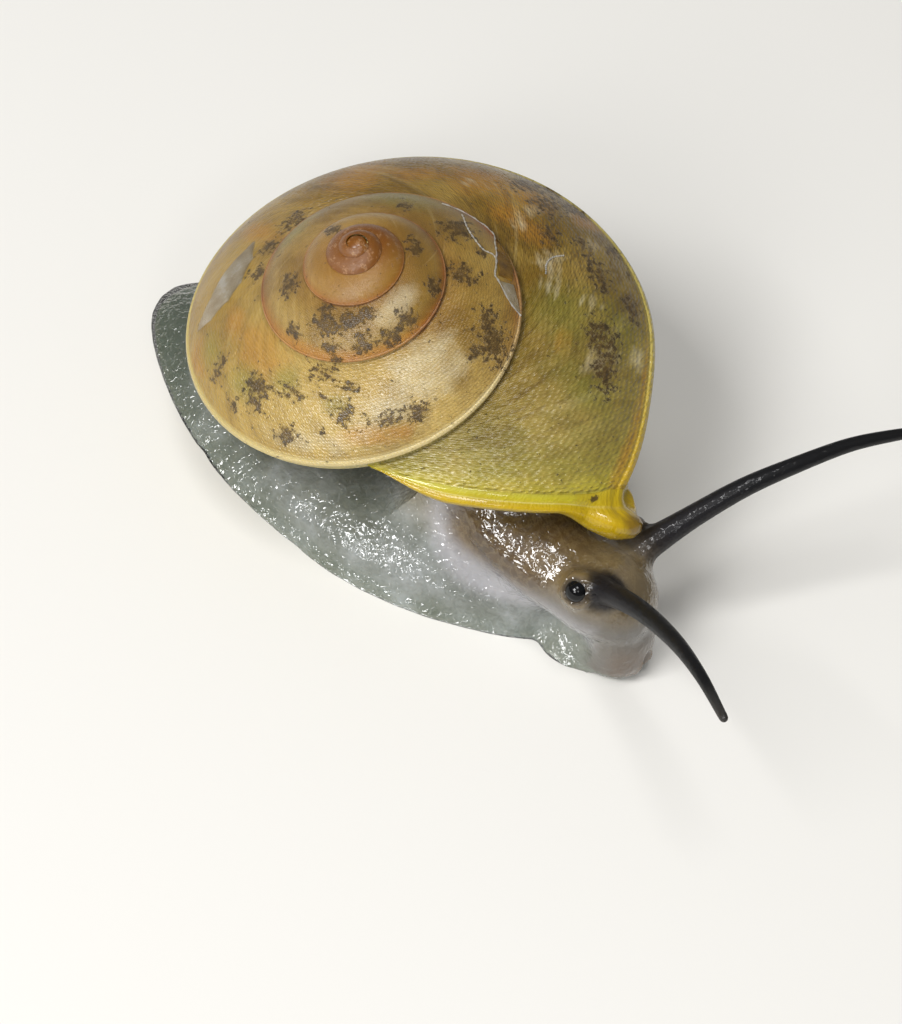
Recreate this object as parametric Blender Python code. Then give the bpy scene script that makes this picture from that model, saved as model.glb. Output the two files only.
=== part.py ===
"""A helicina: a small tropical land snail with a keeled, beaked shell, crawling.

The snail crawls towards +X with its left side towards +Y, and its sole lies flat on z = 0.
Sizes are in millimetres until a mesh is made, which turns them into metres.
The shell is a spiral that grows by one ratio a turn, so all its turns have one shape.
The flesh is modelled whole and then parted with thin cuts.
"""
import math

import bmesh
import bpy
from mathutils import Matrix, Vector

MM = 0.001
GAP = 0.3

# Shell spiral, about its own axis, with the tip of the spire's cone at its origin
KEEL_RADIUS = 9.73
TURN_RATIO = 1.835
KEEL_DROP = 0.816
TURNS = 4.2
STEPS_PER_TURN = 40
STEPS_BEHIND = 33
SUTURE_INSET = 0.012
SUTURE_DROP = 0.030
SUTURE_SWEEP = 0.08
UPPER_BULGE = 0.105
UPPER_PARTS = 5
BASE_PARTS = 6
BASE_PROFILE = ((1.0, 0.0), (0.93, -0.13), (0.72, -0.30), (0.42, -0.31), (0.18, -0.24))
SPIRE_FLOOR = 1.12
APERTURE_RISE = 0.76
APERTURE_SLOPE = 0.09
KEEL_PULL = 0.024
KEEL_PULL_TURN = 0.075

# Shell as it is carried
SHELL_TIP = (-1.12, -2.21, 11.35)
SHELL_LEAN_BACK = 10.9
SHELL_LEAN_RIGHT = 22.2
SHELL_TURN = 7.6

# Lip, measured outwards from the opening's edge and along the shell's growth
LIP_WIDTH = 0.95
LIP_THICKNESS = 0.55
LIP_STANDS_OUT = 0.12
LIP_ENDS = 3
BEAK_REACH = 0.75
BEAK_DROP = 0.95
BEAK_ABOVE = 1.6
BEAK_BELOW = 0.9

# Operculum, the horny lid carried flat on the tail
LID_LENGTH = 6.2
LID_WIDTH = 4.2
LID_THICKNESS = 0.5
LID_CENTRE = (-4.6, -0.1, 1.42)
LID_TILT = -2.5
LID_SIDES = 28

# Foot: along X, middle of the width, half width, height
FOOT = (
    (-8.75, 0.65, 0.25, 0.30),
    (-8.35, 0.60, 1.20, 0.60),
    (-7.30, 0.40, 2.05, 0.85),
    (-5.60, 0.10, 2.87, 1.00),
    (-3.70, -0.20, 3.45, 1.10),
    (-1.40, -0.42, 3.86, 1.25),
    (1.20, -0.50, 4.00, 2.10),
    (3.60, -0.45, 3.92, 2.40),
    (6.10, -0.20, 3.30, 2.40),
    (8.20, 0.10, 2.25, 2.10),
    (9.30, 0.28, 1.45, 1.70),
    (10.00, 0.35, 0.60, 1.10),
)
FOOT_RINGS = 24
FOOT_MARGIN = 0.3
FOOT_SIDES = 24
LOBE = (
    (9.50, 0.35, 0.70, 0.80),
    (10.20, 0.32, 1.20, 1.15),
    (11.20, 0.35, 1.25, 1.20),
    (12.00, 0.42, 1.00, 0.95),
    (12.40, 0.45, 0.40, 0.50),
)

# Column of flesh between the foot and the shell's opening
COLUMN_CENTRE = (4.5, -0.7)
COLUMN_RADII = (4.0, 3.0)
COLUMN_FOOT_LEVEL = 0.8
COLUMN_FILLS = 0.56
COLUMN_TOP = 0.25

# Neck and head: along X, across, height of the middle, half width, half height
HEAD_TURN = 9.0
HEAD = (
    (5.60, -0.40, 3.70, 1.50, 1.10),
    (6.80, -0.20, 3.40, 2.10, 1.50),
    (8.40, 0.05, 3.00, 2.15, 1.50),
    (10.00, 0.15, 2.80, 1.95, 1.50),
    (11.20, 0.15, 2.95, 1.80, 1.65),
    (12.00, 0.25, 2.85, 1.48, 1.55),
    (12.60, 0.35, 2.65, 1.05, 1.20),
    (12.90, 0.42, 2.55, 0.50, 0.60),
)
HEAD_RINGS = 14
HEAD_SIDES = 24

# Snout: height, along X, across, half length, half width
SNOUT = (
    (0.00, 11.95, 0.46, 0.80, 0.85),
    (0.30, 12.00, 0.46, 1.10, 1.12),
    (0.90, 12.05, 0.46, 1.20, 1.25),
    (1.80, 11.95, 0.44, 1.15, 1.40),
    (2.80, 11.75, 0.40, 1.00, 1.50),
)
SNOUT_RINGS = 9
MOUTH_DEPTH = 0.28
MOUTH_TOP = 1.1

# Tentacles: middle line from the root in the head to the tip, and their radii
TENTACLE_RIGHT = ((10.9, -0.7, 3.5), (11.62, -1.08, 4.3), (13.32, -1.80, 5.5), (15.28, -2.85, 6.6),
                  (17.05, -3.92, 7.3), (18.81, -4.97, 7.6))
TENTACLE_LEFT = ((10.7, 1.2, 3.4), (11.16, 1.88, 4.3), (11.78, 3.42, 5.4), (12.38, 4.78, 6.3),
                 (13.05, 6.35, 6.9), (13.84, 8.43, 7.3), (14.75, 10.18, 7.5), (15.30, 11.20, 7.5))
TENTACLE_ROOT_RADIUS = 0.62
TENTACLE_BASE_RADIUS = 0.48
TENTACLE_TIP_RADIUS = 0.15
TENTACLE_CUTS = (0.20, 0.50, 0.76)
TENTACLE_SIDES = 10

# Eyes, on low swellings outside the tentacles
EYE_RADIUS = 0.39
EYE_SEAT_GAP = 0.13
EYE_RIGHT = (10.86, -1.66, 4.05)
EYE_LEFT = (10.32, 2.36, 4.05)
SWELLING_RADIUS = 0.72
SWELLING_SINK = 0.32

# Where the flesh is parted: tail, middle, front, upper body, mantle, head and snout
CUT_TAIL = -2.9
CUT_MIDDLE = 1.9
CUT_UPPER = (6.0, 3.7)
CUT_UPPER_SLOPE = -0.61
CUT_MANTLE = 1.3
CUT_HEAD = 9.9
CUT_SNOUT = (12.0, 2.0)
CUT_SNOUT_SLOPE = 0.15

GROWTH = math.log(TURN_RATIO) / (2 * math.pi)
STEP = 2 * math.pi / STEPS_PER_TURN
SHELL_FRAME = (
    Matrix.Translation(Vector(SHELL_TIP))
    @ Matrix.Rotation(math.radians(SHELL_LEAN_RIGHT), 4, "X")
    @ Matrix.Rotation(math.radians(-SHELL_LEAN_BACK), 4, "Y")
    @ Matrix.Rotation(math.radians(SHELL_TURN), 4, "Z")
)


def clear_scene():
    for item in list(bpy.data.objects):
        bpy.data.objects.remove(item)


def material(name, colour, roughness, metallic=0.0):
    """A plain surface of one colour."""
    made = bpy.data.materials.new(name)
    made.use_nodes = True
    shader = made.node_tree.nodes["Principled BSDF"]
    shader.inputs["Base Color"].default_value = (*colour, 1.0)
    shader.inputs["Roughness"].default_value = roughness
    shader.inputs["Metallic"].default_value = metallic
    return made


def smooth_line(points, parts):
    """Evenly spread rows of numbers on a smooth curve through the rows given."""
    rows = [Vector(p) for p in points]
    rows = [rows[0] * 2 - rows[1], *rows, rows[-1] * 2 - rows[-2]]
    line = []
    for step in range(parts + 1):
        place = step / parts * (len(points) - 1)
        k = min(int(place), len(points) - 2)
        t = place - k
        a, b, c, d = rows[k:k + 4]
        line.append(0.5 * (2 * b + (c - a) * t + (2 * a - 5 * b + 4 * c - d) * t**2
                           + (3 * b - a - 3 * c + d) * t**3))
    return line


def new_object(name, bm, surface):
    """An object from a mesh in millimetres, shaded smooth but for its sharp edges."""
    bmesh.ops.scale(bm, vec=(MM, MM, MM), verts=bm.verts)
    mesh = bpy.data.meshes.new(name)
    bm.to_mesh(mesh)
    bm.free()
    mesh.shade_smooth()
    mesh.set_sharp_from_angle(angle=math.radians(50))
    mesh.materials.append(surface)
    made = bpy.data.objects.new(name, mesh)
    bpy.context.scene.collection.objects.link(made)
    return made


def loft(rings):
    """A closed skin over rings of points, each end closed to its middle."""
    bm = bmesh.new()
    rows = [[bm.verts.new(p) for p in ring] for ring in rings]
    count = len(rows[0])
    for a, b in zip(rows, rows[1:]):
        for k in range(count):
            bm.faces.new((a[k], a[(k + 1) % count], b[(k + 1) % count], b[k]))
    for row in (rows[0], rows[-1]):
        middle = bm.verts.new(sum((v.co for v in row), Vector()) / count)
        for k in range(count):
            bm.faces.new((row[k], row[(k + 1) % count], middle))
    bmesh.ops.recalc_face_normals(bm, faces=bm.faces)
    return bm


def keep_largest(bm):
    """Leaves only the largest closed surface."""
    left = set(bm.faces)
    groups = []
    while left:
        group = {left.pop()}
        edge_of_group = list(group)
        while edge_of_group:
            face = edge_of_group.pop()
            for edge in face.edges:
                for other in edge.link_faces:
                    if other in left:
                        left.remove(other)
                        group.add(other)
                        edge_of_group.append(other)
        groups.append(group)
    groups.sort(key=lambda g: sum(f.calc_area() for f in g))
    loose = [f for group in groups[:-1] for f in group]
    bmesh.ops.delete(bm, geom=loose, context="FACES")


def combine(body, others, how, solver="EXACT"):
    """Joins closed pieces to a body, or cuts them from it, and removes them."""
    pieces = bpy.data.collections.new("pieces")
    bpy.context.scene.collection.children.link(pieces)
    for other in others:
        pieces.objects.link(other)
    boolean = body.modifiers.new("combine", "BOOLEAN")
    boolean.operation = how
    boolean.solver = solver
    boolean.operand_type = "COLLECTION"
    boolean.collection = pieces
    bpy.context.view_layer.objects.active = body
    bpy.ops.object.modifier_apply(modifier=boolean.name)
    for other in others:
        bpy.data.objects.remove(other)
    bpy.data.collections.remove(pieces)
    bm = bmesh.new()
    bm.from_mesh(body.data)
    keep_largest(bm)
    bm.to_mesh(body.data)
    bm.free()


def part_between(whole, name, planes, surface):
    """The part of a whole behind every plane, each set back by half the gap. A plane is (point, normal)."""
    bm = bmesh.new()
    bm.from_mesh(whole.data)
    bmesh.ops.scale(bm, vec=(1 / MM, 1 / MM, 1 / MM), verts=bm.verts)
    for point, normal in planes:
        out = Vector(normal).normalized()
        place = Vector(point) - out * GAP / 2
        bmesh.ops.bisect_plane(bm, geom=bm.verts[:] + bm.edges[:] + bm.faces[:], dist=1e-5,
                               plane_co=place, plane_no=out, clear_outer=True)
        open_edges = [e for e in bm.edges if e.is_boundary]
        bmesh.ops.holes_fill(bm, edges=open_edges)
    bmesh.ops.triangulate(bm, faces=bm.faces)
    keep_largest(bm)
    return new_object(name, bm, surface)


# Shell

def coil_point(radius, height, angle):
    """A point of the shell's surface at an angle along the coil, which is 0 at the keel of the lip."""
    size = KEEL_RADIUS * math.exp(GROWTH * angle)
    near_lip = math.exp(-((angle / (2 * math.pi * KEEL_PULL_TURN) + 0.8) ** 2) * 3)
    pull = 1 - KEEL_PULL * near_lip * max(0.0, 2 * radius - 1)
    return Vector((radius * pull * size * math.cos(angle),
                   -radius * pull * size * math.sin(angle), height * size))


def opening_height(x, y):
    """Height of the slanting plane of the shell's opening."""
    edge = -(KEEL_DROP + APERTURE_SLOPE) * KEEL_RADIUS
    return edge - APERTURE_RISE * y + APERTURE_SLOPE * x


def lead_angle(radius, height, low, high):
    """How far ahead of the keel a growth line runs, so that each line has the opening's slant."""
    for _ in range(40):
        middle = (low + high) / 2
        place = coil_point(radius, height, middle)
        if place.z > opening_height(place.x, place.y):
            low = middle
        else:
            high = middle
    return (low + high) / 2


def upper_profile():
    """Radius, height and lead of the points from the suture out to the keel, for a keel radius of 1."""
    suture = Vector((1 / TURN_RATIO - SUTURE_INSET, -KEEL_DROP / TURN_RATIO - SUTURE_DROP))
    chord = Vector((1, -KEEL_DROP)) - suture
    out = Vector((-chord.y, chord.x))
    profile = []
    for k in range(UPPER_PARTS + 1):
        t = k / UPPER_PARTS
        p = suture + chord * t + out * UPPER_BULGE * 4 * t * (1 - t)
        lead = lead_angle(p.x, p.y, -0.2, 1.3) if k < UPPER_PARTS else 0.0
        profile.append((p.x, p.y, lead + SUTURE_SWEEP * (1 - t)**4))
    return profile


def base_profile():
    """The same from the keel in to the middle of the base."""
    profile = []
    for p in smooth_line(BASE_PROFILE, BASE_PARTS)[1:]:
        height = p.y - KEEL_DROP
        profile.append((p.x, height, lead_angle(p.x, height, -1.2, 0.2)))
    return profile


def growth_line(step, profile):
    return [coil_point(radius, height, step * STEP + lead) for radius, height, lead in profile]


def coil_top(bm, last):
    """The coil's upper surface from the first turn to the growth line last, counted in steps from the lip.

    Its growth lines are returned by step. The surface is closed at its tip and open below."""
    first = -round(TURNS * STEPS_PER_TURN)
    upper = {}
    for step in range(first, last + 1):
        upper[step] = [bm.verts.new(p) for p in growth_line(step, upper_profile())]
    for step in range(first, last):
        a, b = upper[step], upper[step + 1]
        for k in range(UPPER_PARTS):
            bm.faces.new((a[k], b[k], b[k + 1], a[k + 1]))
        under = step - STEPS_BEHIND
        if under >= first:
            bm.faces.new((a[0], upper[under][-1], upper[under + 1][-1], b[0]))
    tip = bm.verts.new((0, 0, upper[first][0].co.z * 0.6))
    rim = [upper[step][0] for step in range(first, first + STEPS_BEHIND + 1)] + upper[first][::-1]
    for vert, after in zip(rim, rim[1:]):
        bm.faces.new((tip, vert, after))
    return upper


def closed_spire(last):
    """The earlier turns filled in, with a low cone for their underside."""
    bm = bmesh.new()
    upper = coil_top(bm, last)
    keel = [upper[step][-1] for step in range(last - 1, last - STEPS_BEHIND - 1, -1)]
    rim = upper[last] + keel
    floor = bm.verts.new((0, 0, upper[last][-1].co.z * SPIRE_FLOOR))
    for vert, after in zip(rim, rim[1:] + rim[:1]):
        bm.faces.new((floor, vert, after))
    return bm


def closed_coil():
    """The whole shell filled in, from its tip to its opening."""
    bm = bmesh.new()
    upper = coil_top(bm, 0)
    base = {}
    for step in range(-STEPS_BEHIND, 1):
        base[step] = [upper[step][-1]] + [bm.verts.new(p) for p in growth_line(step, base_profile())]
    for step in range(-STEPS_BEHIND, 0):
        a, b = base[step], base[step + 1]
        for k in range(BASE_PARTS):
            bm.faces.new((a[k], b[k], b[k + 1], a[k + 1]))
    hub = [base[step][-1] for step in range(-STEPS_BEHIND, 1)]
    middle = bm.verts.new((0, 0, sum(vert.co.z for vert in hub) / len(hub)))
    for vert, after in zip(hub, hub[1:] + hub[:1]):
        bm.faces.new((middle, vert, after))
    outer = upper[0] + base[0][1:]
    inner = base[-STEPS_BEHIND]
    spread = (len(inner) - 1) / (len(outer) - 1)
    for k in range(len(outer) - 1):
        m = round(k * spread)
        n = round((k + 1) * spread)
        if m == n:
            bm.faces.new((outer[k], outer[k + 1], inner[m]))
        else:
            bm.faces.new((outer[k], outer[k + 1], inner[n], inner[m]))
    return bm


def swell(bm, amount):
    """Moves a closed surface outwards by an even amount."""
    bm.normal_update()
    moves = [(v, v.normal * amount * min(v.calc_shell_factor(), 2.0)) for v in bm.verts]
    for vert, move in moves:
        vert.co += move


def make_shell(surface):
    """The spire, and the last turn, which is the whole coil less the spire and a gap round it."""
    spire = closed_spire(-STEPS_PER_TURN)
    cutter = closed_spire(-STEPS_PER_TURN)
    whorl = closed_coil()
    for bm in (spire, cutter, whorl):
        bmesh.ops.triangulate(bm, faces=bm.faces)
        bmesh.ops.recalc_face_normals(bm, faces=bm.faces)
        bmesh.ops.transform(bm, matrix=SHELL_FRAME, verts=bm.verts)
    swell(cutter, GAP)
    new_object("shell_spire", spire, surface)
    inside = new_object("inside", cutter, surface)
    combine(new_object("shell_body_whorl", whorl, surface), [inside], "DIFFERENCE", "MANIFOLD")


def opening_frames():
    """Points round the opening's edge, from the suture over the keel to the middle of the base.

    Each comes with the way outwards, and with its distance along the edge from the keel."""
    edge = growth_line(0, upper_profile() + base_profile())
    edge = smooth_line(edge, 4 * (len(edge) - 1))
    down = opening_normal()
    keel = max(range(len(edge)), key=lambda k: edge[k].x)
    lengths = [0.0]
    for a, b in zip(edge, edge[1:]):
        lengths.append(lengths[-1] + (b - a).length)
    frames = []
    for k, point in enumerate(edge):
        along = (edge[min(k + 1, len(edge) - 1)] - edge[max(k - 1, 0)]).normalized()
        frames.append((point, down.cross(along).normalized(), lengths[k] - lengths[keel]))
    return frames


def opening_normal():
    return Vector((APERTURE_SLOPE, -APERTURE_RISE, -1)).normalized()


def make_lip(surface):
    """A rounded rim round the opening, drawn out into a beak at the keel."""
    down = opening_normal()
    frames = opening_frames()
    rings = []
    for k, (point, out, away) in enumerate(frames):
        span = BEAK_BELOW if away > 0 else BEAK_ABOVE
        beak = max(0.0, 1 - (away / span) ** 2) ** 1.5
        end = min(1.0, (min(k, len(frames) - 1 - k) + 1) / (LIP_ENDS + 1)) ** 0.5
        width = LIP_WIDTH * end
        rim = LIP_STANDS_OUT * (2 * end - 1)
        outer = rim + BEAK_REACH * beak
        low = GAP + LIP_THICKNESS * end
        section = (
            (-width, GAP + 0.12), (-width * 0.75, GAP), (rim - 0.1, GAP),
            (rim + BEAK_REACH * 0.25 * beak, GAP + 0.15 + BEAK_DROP * 0.22 * beak),
            (outer, GAP + 0.32 + BEAK_DROP * 0.8 * beak),
            (outer * 0.6 - 0.05, low + BEAK_DROP * 0.85 * beak),
            (-width * 0.35, low + BEAK_DROP * beak), (-width * 0.85, low - 0.08 + BEAK_DROP * 0.4 * beak),
        )
        rings.append([point + out * o + down * d for o, d in section])
    bm = loft(rings)
    bmesh.ops.transform(bm, matrix=SHELL_FRAME, verts=bm.verts)
    new_object("shell_lip", bm, surface)


# Operculum

def make_lid(surface):
    """A half-moon plate, straight along the snail's left."""
    outline = []
    for k in range(LID_SIDES):
        turn = 2 * math.pi * k / LID_SIDES
        across = math.sin(turn)
        across = across if across < 0 else 0.35 * across
        outline.append(Vector((math.cos(turn) * LID_LENGTH / 2, (across + 0.32) * LID_WIDTH / 1.35, 0)))
    rings = []
    for inset, level in ((0.12, 0), (0, 0.15), (0, LID_THICKNESS - 0.15), (0.12, LID_THICKNESS)):
        rings.append([p * (1 - inset / (LID_WIDTH / 2)) + Vector((0, 0, level)) for p in outline])
    bm = loft(rings)
    place = Matrix.Translation(LID_CENTRE) @ Matrix.Rotation(math.radians(LID_TILT), 4, "Y")
    bmesh.ops.transform(bm, matrix=place, verts=bm.verts)
    new_object("operculum", bm, surface)


# Flesh

def sole_ring(x, middle, half_width, height):
    """A section across the foot: flat below, with a thin rounded margin, and domed above."""
    ring = []
    margin = min(FOOT_MARGIN, height * 0.6)
    flat = half_width * 0.93
    for k in range(FOOT_SIDES // 3 + 1):
        t = k / (FOOT_SIDES // 3) * 2 - 1
        ring.append(Vector((x, middle + flat * t, 0)))
    above = FOOT_SIDES - len(ring)
    for k in range(above):
        turn = math.pi * (k + 0.5) / above
        rise = math.sin(turn) ** 0.8
        ring.append(Vector((x, middle + half_width * math.cos(turn), margin * 0.55 + (height - margin * 0.55) * rise)))
    return ring


def foot_piece(name, sizes, rings, surface):
    return new_object(name, loft([sole_ring(*row) for row in smooth_line(sizes, rings)]), surface)


def column_piece(surface):
    """Flesh that rises from the foot and fills the shell's opening inside the lip."""
    edge = [point for point, _, _ in opening_frames()[::2]]
    middle = sum(edge, Vector()) / len(edge)
    inside = [middle.lerp(point, COLUMN_FILLS) + opening_normal() * COLUMN_TOP for point in edge]
    top = [SHELL_FRAME @ point for point in inside]
    count = len(top)
    closing = 6
    for k in range(1, closing):
        top.append(top[count - 1].lerp(top[0], k / closing))
    centre = sum(top, Vector()) / len(top)
    bottom = []
    for point in top:
        turn = math.atan2((point.y - centre.y) / COLUMN_RADII[1], (point.x - centre.x) / COLUMN_RADII[0])
        bottom.append(Vector((COLUMN_CENTRE[0] + COLUMN_RADII[0] * math.cos(turn),
                              COLUMN_CENTRE[1] + COLUMN_RADII[1] * math.sin(turn), COLUMN_FOOT_LEVEL)))
    rings = []
    for k in range(7):
        t = k / 6
        waist = 1 - 0.10 * math.sin(math.pi * t)
        ring = [a.lerp(b, t) for a, b in zip(bottom, top)]
        middle = sum(ring, Vector()) / len(ring)
        rings.append([middle + (p - middle) * waist for p in ring])
    return new_object("column", loft(rings), surface)


def oval(centre, wide, tall, turn):
    """A ring round a level line that runs ahead at the angle turn."""
    side = Vector((-math.sin(turn), math.cos(turn), 0))
    ring = []
    for k in range(HEAD_SIDES):
        angle = 2 * math.pi * k / HEAD_SIDES
        ring.append(centre + side * wide * math.cos(angle) + Vector((0, 0, tall * math.sin(angle))))
    return ring


def head_piece(surface):
    """The neck and the top of the head, bent a little to the snail's left."""
    rings = []
    for x, y, z, wide, tall in smooth_line(HEAD, HEAD_RINGS):
        turn = math.radians(HEAD_TURN) * min(1.0, max(0.0, (x - 6) / 5))
        rings.append(oval(Vector((x, y, z)), wide, tall, turn))
    return new_object("head_top", loft(rings), surface)


def snout_piece(surface):
    """The snout, down to the ground, with the upright slit of the mouth in front."""
    ahead = Vector((math.cos(math.radians(HEAD_TURN)), math.sin(math.radians(HEAD_TURN)), 0))
    side = Vector((-ahead.y, ahead.x, 0))
    rings = []
    for z, x, y, long, wide in smooth_line(SNOUT, SNOUT_RINGS):
        ring = []
        for k in range(HEAD_SIDES):
            angle = 2 * math.pi * k / HEAD_SIDES
            slit = MOUTH_DEPTH if k == 0 and 0.1 < z < MOUTH_TOP else 0.0
            ring.append(Vector((x, y, z)) + ahead * (long * math.cos(angle) - slit) + side * wide * math.sin(angle))
        rings.append(ring)
    return new_object("snout_form", loft(rings), surface)


def ball(name, centre, radius, surface, around=16, rows=10):
    bm = bmesh.new()
    bmesh.ops.create_uvsphere(bm, u_segments=around, v_segments=rows, radius=radius,
                              matrix=Matrix.Translation(Vector(centre)))
    return new_object(name, bm, surface)


def tentacle_line(points, parts):
    """Places, directions and radii along a tentacle, which is widest in the head and tapers to its tip."""
    line = smooth_line(points, parts)
    rows = []
    for k, place in enumerate(line):
        t = k / parts
        along = (line[min(k + 1, parts)] - line[max(k - 1, 0)]).normalized()
        radius = TENTACLE_BASE_RADIUS + (TENTACLE_TIP_RADIUS - TENTACLE_BASE_RADIUS) * t
        radius += (TENTACLE_ROOT_RADIUS - TENTACLE_BASE_RADIUS) * max(0.0, 1 - t / 0.2)
        rows.append((place, along, radius))
    return rows


def tube(name, rows, surface, round_end=False):
    """A round length of tentacle. Its last ring can be drawn in to a rounded end."""
    rings = []
    rows = list(rows)
    if round_end:
        place, along, radius = rows[-1]
        rows.append((place + along * radius * 0.7, along, radius * 0.6))
    for place, along, radius in rows:
        side = along.cross(Vector((0, 0, 1))).normalized()
        up = side.cross(along)
        ring = []
        for k in range(TENTACLE_SIDES):
            angle = 2 * math.pi * k / TENTACLE_SIDES
            ring.append(place + side * radius * math.cos(angle) + up * radius * math.sin(angle))
        rings.append(ring)
    return new_object(name, loft(rings), surface)


def make_tentacle(side, points, surface):
    """Three lengths with a gap before each. The root is returned, to be joined to the head."""
    parts = 10 * len(points)
    rows = tentacle_line(points, parts)
    length = sum((b[0] - a[0]).length for a, b in zip(rows, rows[1:]))
    skip = max(1, round(GAP / length * parts))
    cuts = [round(cut * parts) for cut in TENTACLE_CUTS]
    root = tube("root_" + side, rows[0:cuts[0]:3] + [rows[cuts[0]]], surface)
    names = ("base", "middle", "tip")
    for k, name in enumerate(names):
        start = cuts[k] + skip
        end = cuts[k + 1] if k + 1 < len(cuts) else parts
        picked = rows[start:end:4] + [rows[end]]
        tube("tentacle_" + side + "_" + name, picked, surface, round_end=name == "tip")
    return root


def make_eyes(surface, skin):
    """Black eyes in shallow seats. Returns the swellings that carry them and the cutters of the seats."""
    swellings = []
    seats = []
    for side, place in (("right", EYE_RIGHT), ("left", EYE_LEFT)):
        ball("eye_" + side, place, EYE_RADIUS, surface)
        middle = Vector((sum(axis) / 2 for axis in zip(EYE_RIGHT, EYE_LEFT)))
        inwards = (middle - Vector(place) - Vector((0, 0, 1.2))).normalized()
        sunk = Vector(place) + inwards * SWELLING_SINK
        swellings.append(ball("swelling_" + side, sunk, SWELLING_RADIUS, skin, 14, 9))
        seats.append(ball("seat_" + side, place, EYE_RADIUS + EYE_SEAT_GAP, skin, 14, 9))
    return swellings, seats


def make_flesh(foot_skin, head_skin, dark_skin, eye_black):
    """Foot, column, neck, head and snout as one body, parted with thin cuts."""
    roots = [make_tentacle("right", TENTACLE_RIGHT, dark_skin), make_tentacle("left", TENTACLE_LEFT, dark_skin)]
    swellings, seats = make_eyes(eye_black, head_skin)
    whole = foot_piece("flesh", FOOT, FOOT_RINGS, foot_skin)
    whole.data.materials.clear()
    combine(whole, [foot_piece("lobe", LOBE, 6, foot_skin), column_piece(foot_skin), head_piece(head_skin),
                    snout_piece(head_skin), *swellings, *roots], "UNION")
    combine(whole, seats, "DIFFERENCE")

    down = SHELL_FRAME.to_3x3() @ opening_normal()
    mantle_at = SHELL_FRAME @ (opening_frames()[0][0] + opening_normal() * CUT_MANTLE)
    upper_at = (CUT_UPPER[0], 0, CUT_UPPER[1])
    upper_up = Vector((-CUT_UPPER_SLOPE, 0, 1))
    ahead = Vector((math.cos(math.radians(HEAD_TURN)), math.sin(math.radians(HEAD_TURN)), 0))
    head_at = (CUT_HEAD, 0.2, 0)
    snout_at = (CUT_SNOUT[0], 0, CUT_SNOUT[1])
    snout_up = Vector((-CUT_SNOUT_SLOPE, 0, 1))
    front = Vector((1, 0, 0))
    part_between(whole, "foot_tail", [((CUT_TAIL, 0, 0), front)], foot_skin)
    part_between(whole, "foot_middle", [((CUT_TAIL, 0, 0), -front), ((CUT_MIDDLE, 0, 0), front)], foot_skin)
    part_between(whole, "foot_front", [((CUT_MIDDLE, 0, 0), -front), (mantle_at, -down),
                                       (upper_at, upper_up)], foot_skin)
    part_between(whole, "mantle", [((CUT_MIDDLE, 0, 0), -front), (mantle_at, down)], head_skin)
    part_between(whole, "neck", [(upper_at, -upper_up), (mantle_at, -down), (head_at, ahead)], head_skin)
    part_between(whole, "head", [(upper_at, -upper_up), (head_at, -ahead), (snout_at, -snout_up)], head_skin)
    part_between(whole, "snout", [(upper_at, -upper_up), (head_at, -ahead), (snout_at, snout_up)], head_skin)
    bpy.data.objects.remove(whole)


def centre_on_floor():
    """Carries every piece on one empty, so that the middle of the whole's box stands over the origin."""
    pieces = list(bpy.data.objects)
    corners = [vert.co for piece in pieces for vert in piece.data.vertices]
    low = Vector([min(c[k] for c in corners) for k in range(3)])
    high = Vector([max(c[k] for c in corners) for k in range(3)])
    carrier = bpy.data.objects.new("snail_carrier", None)
    bpy.context.scene.collection.objects.link(carrier)
    carrier.location = (-(low.x + high.x) / 2, -(low.y + high.y) / 2, -low.z)
    for piece in pieces:
        piece.parent = carrier


clear_scene()
SHELL_HORN = material("shell", (0.50, 0.36, 0.15), 0.30)
LIP_YELLOW = material("lip", (0.80, 0.55, 0.04), 0.25)
LID_HORN = material("operculum", (0.33, 0.17, 0.08), 0.40)
FOOT_SKIN = material("foot_skin", (0.50, 0.52, 0.50), 0.30)
HEAD_SKIN = material("head_skin", (0.36, 0.28, 0.22), 0.35)
TENTACLE_SKIN = material("tentacle_skin", (0.06, 0.055, 0.06), 0.35)
EYE_BLACK = material("eye", (0.01, 0.01, 0.012), 0.08)
make_shell(SHELL_HORN)
make_lip(LIP_YELLOW)
make_lid(LID_HORN)
make_flesh(FOOT_SKIN, HEAD_SKIN, TENTACLE_SKIN, EYE_BLACK)
centre_on_floor()
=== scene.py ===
import math

import bpy
import numpy as np
from mathutils import Matrix, Vector


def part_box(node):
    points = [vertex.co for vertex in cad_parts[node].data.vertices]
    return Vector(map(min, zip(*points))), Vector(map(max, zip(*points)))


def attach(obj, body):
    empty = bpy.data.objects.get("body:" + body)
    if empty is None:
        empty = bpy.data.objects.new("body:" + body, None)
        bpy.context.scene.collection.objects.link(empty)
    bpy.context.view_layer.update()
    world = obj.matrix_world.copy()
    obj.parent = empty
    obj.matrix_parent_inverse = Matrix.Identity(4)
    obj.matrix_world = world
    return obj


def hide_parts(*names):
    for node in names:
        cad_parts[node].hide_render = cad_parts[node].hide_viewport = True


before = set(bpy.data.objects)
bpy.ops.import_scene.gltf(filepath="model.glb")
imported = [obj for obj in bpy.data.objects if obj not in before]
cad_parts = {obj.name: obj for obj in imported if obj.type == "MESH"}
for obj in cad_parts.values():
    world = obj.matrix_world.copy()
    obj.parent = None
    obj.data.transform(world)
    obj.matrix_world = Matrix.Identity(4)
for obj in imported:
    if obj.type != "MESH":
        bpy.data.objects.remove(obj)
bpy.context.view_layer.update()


# Camera: a long lens above the snail's right side, turned a little about its own line of sight.
# The snail is drawn in millimetres on its own grid, which lies at SNAIL_PLACE in the frame.

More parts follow.
